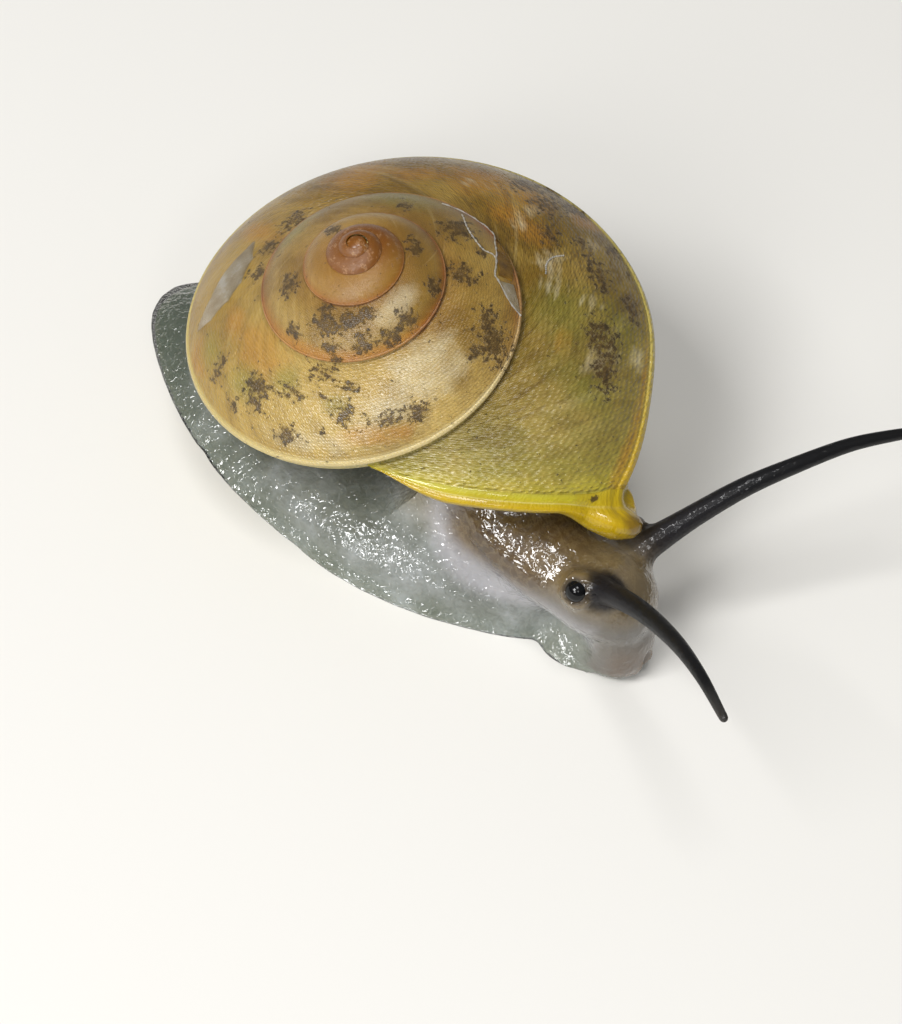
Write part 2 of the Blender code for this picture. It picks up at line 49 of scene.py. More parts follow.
MM = 0.001
eye_low, eye_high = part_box("eye_right")
SNAIL_PLACE = (eye_low + eye_high) / 2 / MM - Vector((10.86, -1.66, 4.05))
CAMERA_PLACE = Vector((65.48, -124.28, 144.47))
CAMERA_RIGHT = Vector((0.73581, 0.63415, 0.23759))
CAMERA_UP = Vector((-0.6044, 0.45673, 0.65277))

camera_back = CAMERA_RIGHT.cross(CAMERA_UP).normalized()
camera_turn = Matrix((CAMERA_RIGHT, CAMERA_UP, camera_back)).transposed().to_euler()
bpy.ops.object.select_all(action="DESELECT")
bpy.ops.object.camera_add(location=(CAMERA_PLACE + SNAIL_PLACE) * MM, rotation=camera_turn)
camera = bpy.context.object
camera.data.sensor_fit = "VERTICAL"
camera.data.sensor_height = 36
camera.data.lens = 203.9
camera.data.clip_start = 0.01
camera.data.clip_end = 10
bpy.context.scene.camera = camera


# Shell: a low cone of four and a half turns with a thin cord along its keel, grown by the snail as a
# thin wall of lime under a horny skin. Each turn is laid below the cord of the one before it.

TURN_RATIO = 1.835
KEEL_RADIUS = 9.73
KEEL_DROP = 0.816
SHELL_TURNS = 5.1
STEPS_A_TURN = 150
OPENING_RISE = 0.76
OPENING_SLOPE = 0.09
BASE_LINE = ((1.0, 0.0), (0.93, -0.13), (0.72, -0.30), (0.42, -0.31), (0.18, -0.24))
UPPER_BULGE = 0.105
KEEL_FOLD = 0.14
WALL = 0.26
NUCLEUS_RADIUS = 0.40
NUCLEUS_PLACE = (0.0, 0.0, -0.53)
NUCLEUS_FLATNESS = 0.75

GROWTH = math.log(TURN_RATIO) / (2 * math.pi)
SHELL_STEP = 2 * math.pi / STEPS_A_TURN
SHELL_CARRIED = (
    Matrix.Translation((-1.12, -2.21, 11.35))
    @ Matrix.Rotation(math.radians(22.2), 4, "X")
    @ Matrix.Rotation(math.radians(-10.9), 4, "Y")
    @ Matrix.Rotation(math.radians(7.6), 4, "Z")
)


def pick(piece):
    """Selects one piece and nothing else."""
    bpy.ops.object.select_all(action="DESELECT")
    piece.select_set(True)
    bpy.context.view_layer.objects.active = piece


def finish_with(piece, kind, **settings):
    """Adds a modifier to a piece and applies it."""
    pick(piece)
    made = piece.modifiers.new("step", kind)
    for name, value in settings.items():
        setattr(made, name, value)
    bpy.ops.object.modifier_apply(modifier=made.name)


def settle(piece, name, carried=Matrix()):
    """Names a piece made in millimetres, and puts it where it belongs in the frame."""
    piece.name = name
    piece.data.name = name
    piece.matrix_world = Matrix.Scale(MM, 4) @ Matrix.Translation(SNAIL_PLACE) @ carried
    pick(piece)
    bpy.ops.object.transform_apply(location=True, rotation=True, scale=True)
    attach(piece, "root")


def smooth_line(points, parts):
    """Evenly spread rows of numbers on a smooth curve through the rows given."""
    rows = [Vector(p) for p in points]
    rows = [rows[0] * 2 - rows[1], *rows, rows[-1] * 2 - rows[-2]]
    line = []
    for step in range(parts + 1):
        place = step / parts * (len(points) - 1)
        k = min(int(place), len(points) - 2)
        t = place - k
        a, b, c, d = rows[k:k + 4]
        line.append(0.5 * (2 * b + (c - a) * t + (2 * a - 5 * b + 4 * c - d) * t**2
                           + (3 * b - a - 3 * c + d) * t**3))
    return line


def pull_near_lip(radius, angle):
    """The last stretch of the turn draws in a little at the keel."""
    near = math.exp(-((angle / (2 * math.pi * 0.075) + 0.8) ** 2) * 3)
    return 1 - 0.024 * near * max(0.0, 2 * radius - 1)


def coil_place(radius, height, angle):
    """A point of the shell at an angle along the coil, 0 at the keel of the lip."""
    size = KEEL_RADIUS * math.exp(GROWTH * angle)
    reach = radius * pull_near_lip(radius, angle) * size
    return Vector((reach * math.cos(angle), -reach * math.sin(angle), height * size))


def lead_of(radius, height, low, high):
    """How far ahead of the keel a growth line runs there."""
    for _ in range(40):
        middle = (low + high) / 2
        p = coil_place(radius, height, middle)
        level = -(KEEL_DROP + OPENING_SLOPE) * KEEL_RADIUS - OPENING_RISE * p.y + OPENING_SLOPE * p.x
        if p.z > level:
            low = middle
        else:
            high = middle
    return (low + high) / 2


def upper_point(t):
    """Radius, height and lead at t, from 0 at the suture to 1 at the keel."""
    suture = Vector((1 / TURN_RATIO - 0.012, -KEEL_DROP / TURN_RATIO - 0.030))
    chord = Vector((1, -KEEL_DROP)) - suture
    p = suture + chord * t + Vector((-chord.y, chord.x)) * UPPER_BULGE * 4 * t * (1 - t)
    lead = lead_of(p.x, p.y, -0.2, 1.3) if t < 0.999 else 0.0
    return p.x, p.y, lead + 0.08 * (1 - t)**4


def shell_columns():
    """Across the shell: u, radius, height and lead. u is 0 at the suture, 1 at the keel, 2 at the hub."""
    columns = []
    radius, height, lead = upper_point(0)
    columns.append((-0.03, 1 / TURN_RATIO * 0.985, -KEEL_DROP / TURN_RATIO + 0.002, lead))
    for k in range(21):
        t = 0.95 * (1 - math.cos(math.pi * k / 20)) / 2 if k < 20 else 0.95
        columns.append((t, *upper_point(t)))
    cord = ((0.958, -0.004), (0.966, 0.000), (0.976, 0.0045), (0.988, 0.0045), (0.997, 0.002))
    for t, lift in cord:
        radius, height, lead = upper_point(t)
        columns.append((t, radius + lift * 0.45, height + lift, lead))
    columns.append((1.0, 1.002, -KEEL_DROP - 0.003, 0.0))
    under_cord = ((1.01, 0.998, 0.010), (1.02, 0.989, 0.017), (1.03, 0.979, 0.019), (1.04, 0.970, 0.030))
    for u, radius, below in under_cord:
        height = -KEEL_DROP - below
        columns.append((u, radius, height, lead_of(radius, height, -1.2, 0.2)))
    for k, p in enumerate(smooth_line(BASE_LINE, 14)):
        if k > 1:
            height = p.y - KEEL_DROP
            columns.append((1.06 + 0.88 * k / 14, p.x, height, lead_of(p.x, height, -1.2, 0.2)))
    columns.append((2.0, 0.03, -KEEL_DROP - 0.205, columns[-1][3]))
    return columns


columns = shell_columns()
bpy.ops.object.select_all(action="DESELECT")
bpy.ops.mesh.primitive_grid_add(x_subdivisions=len(columns) - 1, y_subdivisions=1, size=1)
shell = bpy.context.object
for row in range(2):
    for k, (u, radius, height, lead) in enumerate(columns):
        size = KEEL_RADIUS * math.exp(GROWTH * (lead - row * SHELL_STEP))
        angle = lead - row * SHELL_STEP
        place = (radius * size * math.cos(angle), -radius * size * math.sin(angle), height * size)
        shell.data.vertices[row * len(columns) + k].co = place
for loop in shell.data.loops:
    row, k = divmod(loop.vertex_index, len(columns))
    shell.data.uv_layers[0].data[loop.index].uv = (columns[k][0], -row / STEPS_A_TURN)

bpy.ops.object.select_all(action="DESELECT")
bpy.ops.object.empty_add()
next_step = bpy.context.object
next_step.rotation_euler = (0, 0, SHELL_STEP)
next_step.scale = (math.exp(-GROWTH * SHELL_STEP),) * 3
bpy.context.view_layer.update()
finish_with(shell, "ARRAY", count=round(SHELL_TURNS * STEPS_A_TURN), use_relative_offset=False,
            use_object_offset=True, offset_object=next_step, use_merge_vertices=True,
            merge_threshold=1e-5, offset_v=-1 / STEPS_A_TURN)
bpy.data.objects.remove(next_step)

column_u, column_radius, column_height, column_lead = np.array(columns).T


def on_shell(u, turns, lift=0.0):
    """A point on the shell at u and at a place along the coil in turns, lifted off it by so much."""
    points = []
    for du, dt in ((0, 0), (0.002, 0), (0, 0.0005)):
        radius = float(np.interp(u + du, column_u, column_radius))
        height = float(np.interp(u + du, column_u, column_height))
        points.append(coil_place(radius, height, 2 * math.pi * (turns + dt)))
    out = (points[2] - points[0]).cross(points[1] - points[0]).normalized()
    return points[0] + out * lift


# Marks as (u, place along the coil in turns, half sizes across and along). Dirt sits on the horny skin,
# amber and olive show where the wall is thin over dark flesh, and pale where the lime is thick; the last
# three pale marks, wide and soft, are a painted sheen.

DIRT = (
    (0.738, -1.021, 0.206, 0.0205), (0.55, -1.038, 0.125, 0.015), (0.588, -0.998, 0.092, 0.0093),
    (0.206, -1.096, 0.171, 0.0186), (0.406, -1.189, 0.229, 0.0211), (0.537, -1.143, 0.067, 0.0075),
    (0.756, -2.043, 0.179, 0.0177), (0.544, -0.078, 0.115, 0.0123), (0.6, -0.056, 0.085, 0.0145),
    (0.606, -0.134, 0.078, 0.0134), (0.869, -0.162, 0.078, 0.0052), (0.812, -0.111, 0.063, 0.0092),
    (0.625, -0.207, 0.134, 0.0099), (0.869, -0.203, 0.12, 0.0072), (0.394, -0.173, 0.07, 0.0082),
    (0.606, -0.165, 0.066, 0.0063), (0.325, -1.281, 0.137, 0.0095), (0.7, -0.238, 0.161, 0.0072),
    (0.95, -0.229, 0.164, 0.0065), (0.15, -0.442, 0.091, 0.0088), (0.13, -0.46, 0.07, 0.012),
    (0.12, -0.50, 0.06, 0.012), (0.10, -0.545, 0.07, 0.010), (0.281, -2.452, 0.353, 0.0256),
    (0.319, -1.616, 0.153, 0.0233), (0.388, -1.768, 0.136, 0.029), (0.275, -1.816, 0.172, 0.0265),
    (0.206, -1.859, 0.119, 0.0263), (0.681, -1.846, 0.177, 0.0166), (0.163, -1.748, 0.1, 0.0173),
    (0.756, -1.785, 0.098, 0.0162), (0.7, -1.705, 0.105, 0.0146), (0.3, -2.13, 0.148, 0.0372),
    (0.656, -1.945, 0.217, 0.0204), (0.75, -1.899, 0.146, 0.0185), (0.463, -0.705, 0.096, 0.0136),
    (0.688, -0.654, 0.073, 0.0081), (0.45, -0.72, 0.053, 0.0061), (0.613, -0.716, 0.057, 0.0085),
    (0.537, -0.649, 0.044, 0.0056), (0.356, -0.747, 0.065, 0.0075), (0.363, -0.76, 0.038, 0.0041),
    (0.088, -0.772, 0.069, 0.0124), (0.094, -0.792, 0.08, 0.0062), (0.513, -0.818, 0.095, 0.0099),
    (0.363, -0.821, 0.062, 0.0033), (0.756, -0.761, 0.076, 0.011), (0.606, -0.865, 0.066, 0.014),
    (0.663, -0.9, 0.081, 0.0128), (0.231, -0.825, 0.052, 0.0104), (0.325, -0.789, 0.031, 0.0057),
    (0.663, -0.798, 0.026, 0.0057), (0.744, -0.691, 0.058, 0.0068), (0.363, -0.738, 0.032, 0.0078),
    (0.95, -1.797, 0.055, 0.0090), (0.91, -0.144, 0.030, 0.0030),
)
AMBER = (
    (0.194, -0.665, 0.212, 0.0391), (0.294, -0.611, 0.09, 0.022), (0.756, -0.618, 0.078, 0.0158),
    (0.356, -0.485, 0.235, 0.012), (0.331, -0.313, 0.107, 0.0183), (0.431, -0.37, 0.259, 0.0268),
    (0.288, -0.209, 0.145, 0.0165), (0.294, -0.18, 0.118, 0.0153), (0.856, -0.189, 0.156, 0.0104),
    (0.725, -0.841, 0.097, 0.0276), (0.788, -0.874, 0.079, 0.0175), (0.281, -0.065, 0.055, 0.0122),
    (0.831, -0.625, 0.096, 0.0158), (0.213, -0.692, 0.177, 0.0318), (0.90, -1.75, 0.10, 0.10),
    (0.90, -1.90, 0.08, 0.08), (0.45, -0.26, 0.20, 0.03), (0.55, -0.22, 0.15, 0.02),
    (0.95, -0.02, 0.07, 0.03), (0.96, -0.06, 0.05, 0.04),
)
OLIVE = (
    (0.644, -0.627, 0.135, 0.0178), (0.513, -0.691, 0.147, 0.0215), (0.4, -0.809, 0.084, 0.016),
    (0.269, -0.731, 0.119, 0.0189), (0.30, -0.09, 0.22, 0.030), (0.66, -0.09, 0.20, 0.022),
    (0.50, -0.035, 0.25, 0.014), (0.66, -1.48, 0.2, 0.04), (0.60, -1.30, 0.3, 0.05),
)
PALE_AND_SHEEN = (
    (0.375, -0.265, 0.07, 0.0052), (0.444, -0.247, 0.052, 0.0041), (0.406, -0.203, 0.111, 0.009),
    (0.244, -0.191, 0.059, 0.0073), (0.263, -0.14, 0.09, 0.0104), (0.756, -0.2, 0.058, 0.0052),
    (0.25, -0.114, 0.111, 0.0057), (0.45, -0.102, 0.096, 0.0043), (0.65, -0.071, 0.069, 0.0049),
    (0.5, -0.056, 0.059, 0.0103), (0.856, -0.078, 0.052, 0.0076), (0.688, -0.164, 0.109, 0.0051),
    # The last three marks of this list, wide and soft, are a painted sheen; the others are thick lime.
    (0.544, -0.867, 0.132, 0.0352), (0.775, -0.785, 0.108, 0.0393), (0.24, -0.93, 0.20, 0.05),
    (0.45, -0.93, 0.20, 0.05), (0.35, -1.95, 0.25, 0.06),
)

wall = shell.vertex_groups.new(name="wall")
grown = {}
for loop in shell.data.loops:
    grown[loop.vertex_index] = tuple(shell.data.uv_layers[0].data[loop.index].uv)
order = sorted(grown)
u_of = np.array([grown[index][0] for index in order])
v_of = np.array([grown[index][1] for index in order])
turns_of = v_of + np.interp(u_of, column_u, column_lead) / (2 * math.pi)
for name, marks in (("dirt", DIRT), ("amber", AMBER), ("olive", OLIVE), ("pale", PALE_AND_SHEEN)):
    values = np.zeros(len(order))
    for u, turns, wide, long in marks:
        far = np.hypot((u_of - u) / wide, (turns_of - turns) / long)
        values = np.maximum(values, np.clip(1 - far / 2, 0, 1))
    shell.data.attributes.new(name, "FLOAT", "POINT").data.foreach_set("value", values.astype(np.float32))
for index, u, v, turns in zip(order, u_of, v_of, turns_of):
    radius = float(np.interp(u, column_u, column_radius))
    pull = pull_near_lip(radius, 2 * math.pi * turns)
    fold = max(0.0, 1 - abs(v) / 0.09) ** 1.5 * math.exp(-((u - 0.93) / 0.05) ** 2)
    place = shell.data.vertices[index].co
    shell.data.vertices[index].co = (place.x * pull, place.y * pull, place.z + KEEL_FOLD * fold)
    wall.add([int(index)], math.exp(GROWTH * 2 * math.pi * v), "REPLACE")
finish_with(shell, "SOLIDIFY", thickness=WALL, offset=-1, vertex_group="wall", thickness_vertex_group=0.0)

bpy.ops.object.select_all(action="DESELECT")
bpy.ops.mesh.primitive_uv_sphere_add(segments=40, ring_count=24, radius=NUCLEUS_RADIUS,
                                     location=NUCLEUS_PLACE)
nucleus = bpy.context.object
nucleus.scale = (1, 1, NUCLEUS_FLATNESS)
bpy.ops.object.transform_apply(location=True, rotation=True, scale=True)
for uv in nucleus.data.uv_layers[0].data:
    uv.uv = (0.5, -SHELL_TURNS)

# Breaks in the shell: a long healed scar, and a chip at the keel with bright broken edges.

SCAR = ((0.319, -0.494), (0.35, -0.507), (0.494, -0.54), (0.594, -0.569), (0.788, -0.598), (0.575, -0.596),
        (0.35, -0.58), (0.238, -0.558), (0.213, -0.52))
CHIP = ((0.985, -1.178), (0.985, -1.152), (0.975, -1.13), (0.875, -1.107), (0.663, -1.107), (0.719, -1.138))
SLIVER = ((0.669, -1.101), (0.875, -1.105), (0.919, -1.089), (0.975, -1.070), (0.794, -1.079))
CRACKS = (
    ((0.756, -1.218), (0.60, -1.195), (0.537, -1.172), (0.569, -1.147), (0.706, -1.138), (0.619, -1.109)),
    ((0.763, -1.25), (0.90, -1.225), (0.98, -1.20), (0.985, -1.181), (0.86, -1.165), (0.788, -1.15),
     (0.70, -1.13), (0.619, -1.109), (0.65, -1.101), (0.794, -1.079), (0.981, -1.070)),
    ((0.206, -0.129), (0.238, -0.140), (0.30, -0.147), (0.388, -0.149)),
)
FLAKE_LIFT = 0.035
FLAKE_EDGE = -0.03
CRACK_RADIUS = 0.042


def store(piece, name, values):
    """Keeps one number for each of a piece's points, for its material to read."""
    piece.data.attributes.new(name, "FLOAT", "POINT").data.foreach_set("value", values)


broken = []
for layer, outline in (("bare", SCAR), ("thin", CHIP), ("bare", SLIVER)):
    bpy.ops.object.select_all(action="DESELECT")
    bpy.ops.mesh.primitive_circle_add(vertices=len(outline), radius=1, fill_type="TRIFAN")
    flake = bpy.context.object
    middle = (sum(p[0] for p in outline) / len(outline), sum(p[1] for p in outline) / len(outline))
    for vert, point in zip(flake.data.vertices, (middle, *outline)):
        vert.co = (*point, 0)
    bpy.ops.object.mode_set(mode="EDIT")
    bpy.ops.mesh.select_all(action="SELECT")
    bpy.ops.mesh.subdivide(number_cuts=9)
    bpy.ops.object.mode_set(mode="OBJECT")
    uses = {}
    for face in flake.data.polygons:
        for key in face.edge_keys:
            uses[key] = uses.get(key, 0) + 1
    border = {index for key, count in uses.items() if count == 1 for index in key}
    for index, vert in enumerate(flake.data.vertices):
        vert.co = on_shell(vert.co.x, vert.co.y, FLAKE_EDGE if index in border else FLAKE_LIFT)
    bpy.ops.object.mode_set(mode="EDIT")
    bpy.ops.mesh.select_all(action="SELECT")
    bpy.ops.mesh.normals_make_consistent(inside=False)
    bpy.ops.object.mode_set(mode="OBJECT")
    store(flake, layer, [1.0] * len(flake.data.vertices))
    broken.append(flake)
for line in CRACKS:
    bpy.ops.object.select_all(action="DESELECT")
    bpy.ops.curve.primitive_nurbs_path_add()
    crack = bpy.context.object
    crack.data.splines.clear()
    spline = crack.data.splines.new("POLY")
    track = [on_shell(p.x, p.y, 0.01) for p in smooth_line([(*q, 0) for q in line], 40)]
    spline.points.add(len(track) - 1)
    for k, point in enumerate(track):
        spline.points[k].co = (*point, 1)
        spline.points[k].radius = 0.6 + 0.4 * math.sin(k * 2.4)
    crack.data.dimensions = "3D"
    crack.data.bevel_depth = CRACK_RADIUS
    crack.data.bevel_resolution = 1
    crack.data.use_fill_caps = True
    bpy.ops.object.convert(target="MESH")
    crack = bpy.context.object
    store(crack, "crack", [1.0] * len(crack.data.vertices))
    broken.append(crack)

pick(shell)
for part in (nucleus, *broken):
    part.select_set(True)
    if part.data.uv_layers:
        part.data.uv_layers[0].name = "growth"
shell.data.uv_layers[0].name = "growth"
bpy.ops.object.join()
bpy.ops.object.shade_smooth()


def linear(colour):
    """A colour given as an sRGB hex value, as the renderer counts it."""
    parts = [int(colour[k:k + 2], 16) / 255 for k in (1, 3, 5)]
    return (*[p / 12.92 if p <= 0.04045 else ((p + 0.055) / 1.055) ** 2.4 for p in parts], 1.0)


def node(tree, kind, *values, stops=(), out=0, **settings):
    """Adds a node with its settings and links, and returns one of its outputs. Plain values fill its
    sockets in order, those in a dict go to the sockets that it names, and stops are a colour ramp's."""
    made = tree.nodes.new("ShaderNode" + kind)
    for name, value in settings.items():
        setattr(made, name, value)
    inputs = {}
    for k, value in enumerate(values):
        inputs.update(value if isinstance(value, dict) else {k: value})
    for socket, value in inputs.items():
        if isinstance(value, bpy.types.NodeSocket):
            tree.links.new(value, made.inputs[socket])
        else:
            made.inputs[socket].default_value = linear(value) if isinstance(value, str) else value
    for k, (place, colour) in enumerate(stops):
        while len(made.color_ramp.elements) <= k:
            made.color_ramp.elements.new(place)
        made.color_ramp.elements[k].position = place
        made.color_ramp.elements[k].color = linear(colour)
    return made.outputs[out]


def new_material(name):
    """An empty material with its shader, which are returned with their node tree."""
    made = bpy.data.materials.new(name)
    made.use_nodes = True
    return made, made.node_tree, made.node_tree.nodes["Principled BSDF"]


def set_shader(shader, **values):
    """Fixed values on the shader's own sockets."""
    for name, value in values.items():
        shader.inputs[name.replace("_", " ")].default_value = value


# Lime under a horny golden skin: silky and a little see-through, with growth lines crossed by finer
# lines round the coil, a pale cord along the keel and brown dirt with ragged edges. The real lattice of
# lines is about a tenth of a millimetre wide, and is drawn half as wide again so that it shows.

shell_finish, t, shader = new_material("horny_shell_lime")
growth_map = node(t, "UVMap", uv_map="growth")
place = node(t, "TexCoord", out="Object")
u = node(t, "SeparateXYZ", growth_map)
v = node(t, "SeparateXYZ", growth_map, out=1)
last_turn = node(t, "MapRange", v, -1.1, 0.0)
turn_colour = node(t, "ValToRGB", last_turn,
                   stops=[(0.0, "#8a6f32"), (0.14, "#a38a50"), (0.25, "#a0884c"), (0.38, "#8f7330"),
                          (0.5, "#80621c"), (0.62, "#6c5112"), (0.78, "#67500f"), (0.89, "#6b5b24"),
                          (0.955, "#7c7136"), (0.985, "#887e34"), (1.0, "#a39726")])
spire_colour = node(t, "ValToRGB", u,
                    stops=[(0.0, "#6a3e18"), (0.035, "#80602a"), (0.3, "#785c20"), (0.7, "#80652a"),
                           (0.86, "#7c561a"), (0.94, "#88501a"), (0.962, "#70401f"), (0.98, "#a0704a"),
                           (1.0, "#7c4526")])
in_spire = node(t, "MapRange", v, -0.98, -1.12)
base = node(t, "Mix", in_spire, {6: turn_colour, 7: spire_colour}, out=2, data_type="RGBA")
cloud = node(t, "TexNoise", {"Vector": place, "Scale": 420.0, "Detail": 4.0, "Roughness": 0.6})
marble_map = node(t, "VectorMath", growth_map, (5.0, 62.0, 1.0), operation="MULTIPLY")
marbled = node(t, "TexNoise",
               {"Vector": marble_map, "Scale": 1.0, "Detail": 5.0, "Roughness": 0.65, "Distortion": 0.9})
older_side = node(t, "Math", node(t, "MapRange", v, -0.58, -0.44), node(t, "MapRange", v, -0.03, -0.14),
                  operation="MULTIPLY")
marble_strength = node(t, "MapRange", older_side, 0.0, 1.0, 0.18, 0.62)
marble = node(t, "Math", node(t, "MapRange", marbled, 0.5, 0.6), marble_strength, operation="MULTIPLY")
fray = node(t, "TexNoise", {"Vector": place, "Scale": 4600.0, "Detail": 5.0, "Roughness": 0.72})
soft_fray = node(t, "TexNoise", {"Vector": place, "Scale": 1300.0, "Detail": 3.0, "Roughness": 0.6})
band_map = node(t, "VectorMath", growth_map, (1.0, 46.0, 1.0), operation="MULTIPLY")
bands = node(t, "TexNoise", {"Vector": band_map, "Scale": 1.0, "Detail": 5.0, "Roughness": 0.7})
cord = node(t, "MapRange", u, 0.925, 0.962)
cord_last = node(t, "ValToRGB", last_turn,
                 stops=[(0.0, "#ac8c64"), (0.1, "#bfae82"), (0.45, "#b3a36c"), (0.8, "#988d54"),
                        (0.93, "#a3944a"), (1.0, "#b09014")])
not_spire = node(t, "Math", 1.0, in_spire, operation="SUBTRACT")
cord_here = node(t, "Math", node(t, "Math", cord, not_spire, operation="MULTIPLY"), 0.85,
                 operation="MULTIPLY")
apex = node(t, "MapRange", v, -3.0, -3.25)
worn = node(t, "Math", apex, node(t, "MapRange", fray, 0.55, 0.61, 0.0, 0.35), operation="MULTIPLY")


def frayed(tree, name, noise, spread, low, high, top):
    """A stored mask whose edge is broken up by a noise."""
    rough = node(tree, "Math", noise, spread, node(tree, "Attribute", out="Fac", attribute_name=name),
                 operation="MULTIPLY_ADD")
    return node(tree, "MapRange", rough, low + spread / 2, high + spread / 2, 0.0, top)


dirt = frayed(t, "dirt", fray, 3.3, 0.44, 0.66, 0.88)
speckled_parts = node(t, "MapRange", soft_fray, 0.5, 0.62)
specks = node(t, "Math", node(t, "MapRange", fray, 0.68, 0.71, 0.0, 0.7), speckled_parts,
              operation="MULTIPLY")
dirt = node(t, "Math", dirt, specks, operation="MAXIMUM")
dirt_colour = node(t, "Mix", node(t, "MapRange", fray, 0.5, 0.64), {6: "#4a3714", 7: "#241807"}, out=2,
                   data_type="RGBA")
colour_layers = (
    (node(t, "MapRange", cloud, 0.44, 0.66, 0.0, 0.35), "#ad9350"),
    (node(t, "MapRange", cloud, 0.5, 0.3, 0.0, 0.5), "#553f14"),
    (marble, "#4c380f"),
    (frayed(t, "amber", soft_fray, 0.9, 0.28, 0.75, 0.5), "#9c6a1c"),
    (frayed(t, "olive", soft_fray, 0.6, 0.25, 0.75, 0.5), "#6c6a26"),
    # Pale marks: thick lime, and in the three wide ones a painted sheen.
    (frayed(t, "pale", soft_fray, 1.3, 0.32, 0.85, 0.5), "#b9ae90"),
    (node(t, "MapRange", bands, 0.5, 0.3, 0.0, 0.35), "#5a4416"),
    (node(t, "MapRange", bands, 0.56, 0.72, 0.0, 0.22), "#bfb184"),
    (cord_here, cord_last),
    (node(t, "MapRange", v, -1.9, -2.9, 0.0, 0.35), "#9a661c"),
    (node(t, "Math", apex, 0.9, operation="MULTIPLY"), "#693a02"),
    (worn, "#b8926a"),
    (node(t, "MapRange", u, 1.0, 1.08), "#b5a870"),
    (frayed(t, "dirt", soft_fray, 1.6, 0.15, 0.80, 0.36), "#5e4719"),
    (dirt, dirt_colour),
)
for strength, colour in colour_layers:
    base = node(t, "Mix", strength, {6: base, 7: colour}, out=2, data_type="RGBA")
wrinkle_map = node(t, "VectorMath", growth_map, (42.0, 430.0, 1.0), operation="MULTIPLY")
wrinkles = node(t, "TexNoise", {"Vector": wrinkle_map, "Scale": 1.0, "Detail": 1.0, "Roughness": 0.5})
lattice_map = node(t, "VectorMath", growth_map, (30.0, 300.0, 1.0), operation="MULTIPLY")
lattice = node(t, "TexVoronoi", {"Vector": lattice_map, "Scale": 1.0, "Randomness": 0.45},
               voronoi_dimensions="2D", feature="SMOOTH_F1")
relief = node(t, "Math", lattice, -1.4, node(t, "Math", wrinkles, 0.5, operation="MULTIPLY"),
              operation="MULTIPLY_ADD")
turn_size = node(t, "Math", TURN_RATIO, v, operation="POWER")
# Where the lattice's relief stands high the colour is painted paler and its grooves are left darker:
# painted shading of the relief.
base = node(t, "Mix", node(t, "MapRange", relief, -0.45, 0.15, 0.0, 0.45), {6: base, 7: "#e0d7b8"}, out=2,
            data_type="RGBA", blend_type="SOFT_LIGHT")
bare = node(t, "Attribute", out="Fac", attribute_name="bare")
thin = node(t, "Attribute", out="Fac", attribute_name="thin")
bare_lime = node(t, "ValToRGB", soft_fray, stops=[(0.35, "#a28c68"), (0.55, "#b8a688"), (0.7, "#cdc2ae")])
thin_lime = node(t, "ValToRGB", soft_fray, stops=[(0.4, "#7a5512"), (0.6, "#a87a26")])
cracked = node(t, "Attribute", out="Fac", attribute_name="crack")
for strength, colour in ((bare, bare_lime), (thin, thin_lime), (cracked, "#e4dccd")):
    base = node(t, "Mix", strength, {6: base, 7: colour}, out=2, data_type="RGBA")
smoother = node(t, "Math", node(t, "Math", bare, thin, operation="ADD"), 0.18, operation="MULTIPLY")
gloss = node(t, "Math", node(t, "MapRange", dirt, 0.0, 1.0, 0.42, 0.6), smoother, operation="SUBTRACT")
relief = node(t, "Math", relief, turn_size, operation="MULTIPLY")
height = node(t, "Math", dirt, 0.3, relief, operation="MULTIPLY_ADD")
bump = node(t, "Bump", {"Height": height, "Strength": 1.0, "Distance": 0.00005})
for socket, output in (("Base Color", base), ("Roughness", gloss), ("Normal", bump), ("Coat Normal", bump)):
    t.links.new(output, shader.inputs[socket])
set_shader(shader, IOR=1.53, Specular_IOR_Level=0.25, Subsurface_Weight=0.12, Subsurface_Scale=0.0004,
           Coat_Weight=0.60, Coat_Roughness=0.22)
shader.inputs["Subsurface Radius"].default_value = (1.0, 0.7, 0.35)

shell.data.materials.append(shell_finish)
settle(shell, "shell", SHELL_CARRIED)
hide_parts("shell_spire", "shell_body_whorl")


# Lip: the thickened rim that the grown snail lays round the opening, of solid glossy lime without the
# horny skin. A low ridge runs round it, and at the keel it is drawn out and down into a short beak.

LIP_PARTS = 180
LIP_SECTION = (
    # out, along the growth, and what the beak adds to each
    (-0.12, -0.30, 0.00, 0.00), (-0.03, -0.04, 0.00, 0.00), (0.005, 0.10, 0.00, 0.04),
    (0.01, 0.24, 0.04, 0.12), (0.00, 0.34, 0.14, 0.20), (-0.02, 0.40, 0.24, 0.24),
    (0.04, 0.45, 0.42, 0.28), (0.09, 0.51, 0.68, 0.33), (0.11, 0.58, 0.80, 0.40),
    (0.08, 0.65, 0.84, 0.54), (0.01, 0.73, 0.70, 0.74), (-0.12, 0.80, 0.42, 0.86),
    (-0.30, 0.83, 0.14, 0.82), (-0.52, 0.78, 0.00, 0.60), (-0.76, 0.64, 0.00, 0.34),
    (-0.94, 0.40, 0.00, 0.12), (-1.00, 0.10, 0.00, 0.00), (-0.92, -0.30, 0.00, 0.00),
    (-0.60, -0.42, 0.00, 0.00),
)
LIP_TURNS_DOWN = 0.45
BEAK_ABOVE = 2.50
BEAK_BELOW = 1.40
BEAK_REACH = 1.45
BEAK_DROP = 1.20
CALLUS_SIZE = (0.72, 0.66, 0.27)
CALLUS_LIFT = 0.08

opening_down = Vector((OPENING_SLOPE, -OPENING_RISE, -1)).normalized()
edge, onward = [], []
for u, radius, height, lead in columns[1:-1]:
    point = coil_place(radius, height, lead)
    onward.append((coil_place(radius, height, lead + 0.01) - point).normalized())
    edge.append(point + Vector((0, 0, KEEL_FOLD * math.exp(-((u - 0.93) / 0.05) ** 2))))
edge_lengths = [0.0]
for p, q in zip(edge, edge[1:]):
    edge_lengths.append(edge_lengths[-1] + (q - p).length)
keel_length = edge_lengths[max(range(len(edge)), key=lambda k: edge[k].x)]


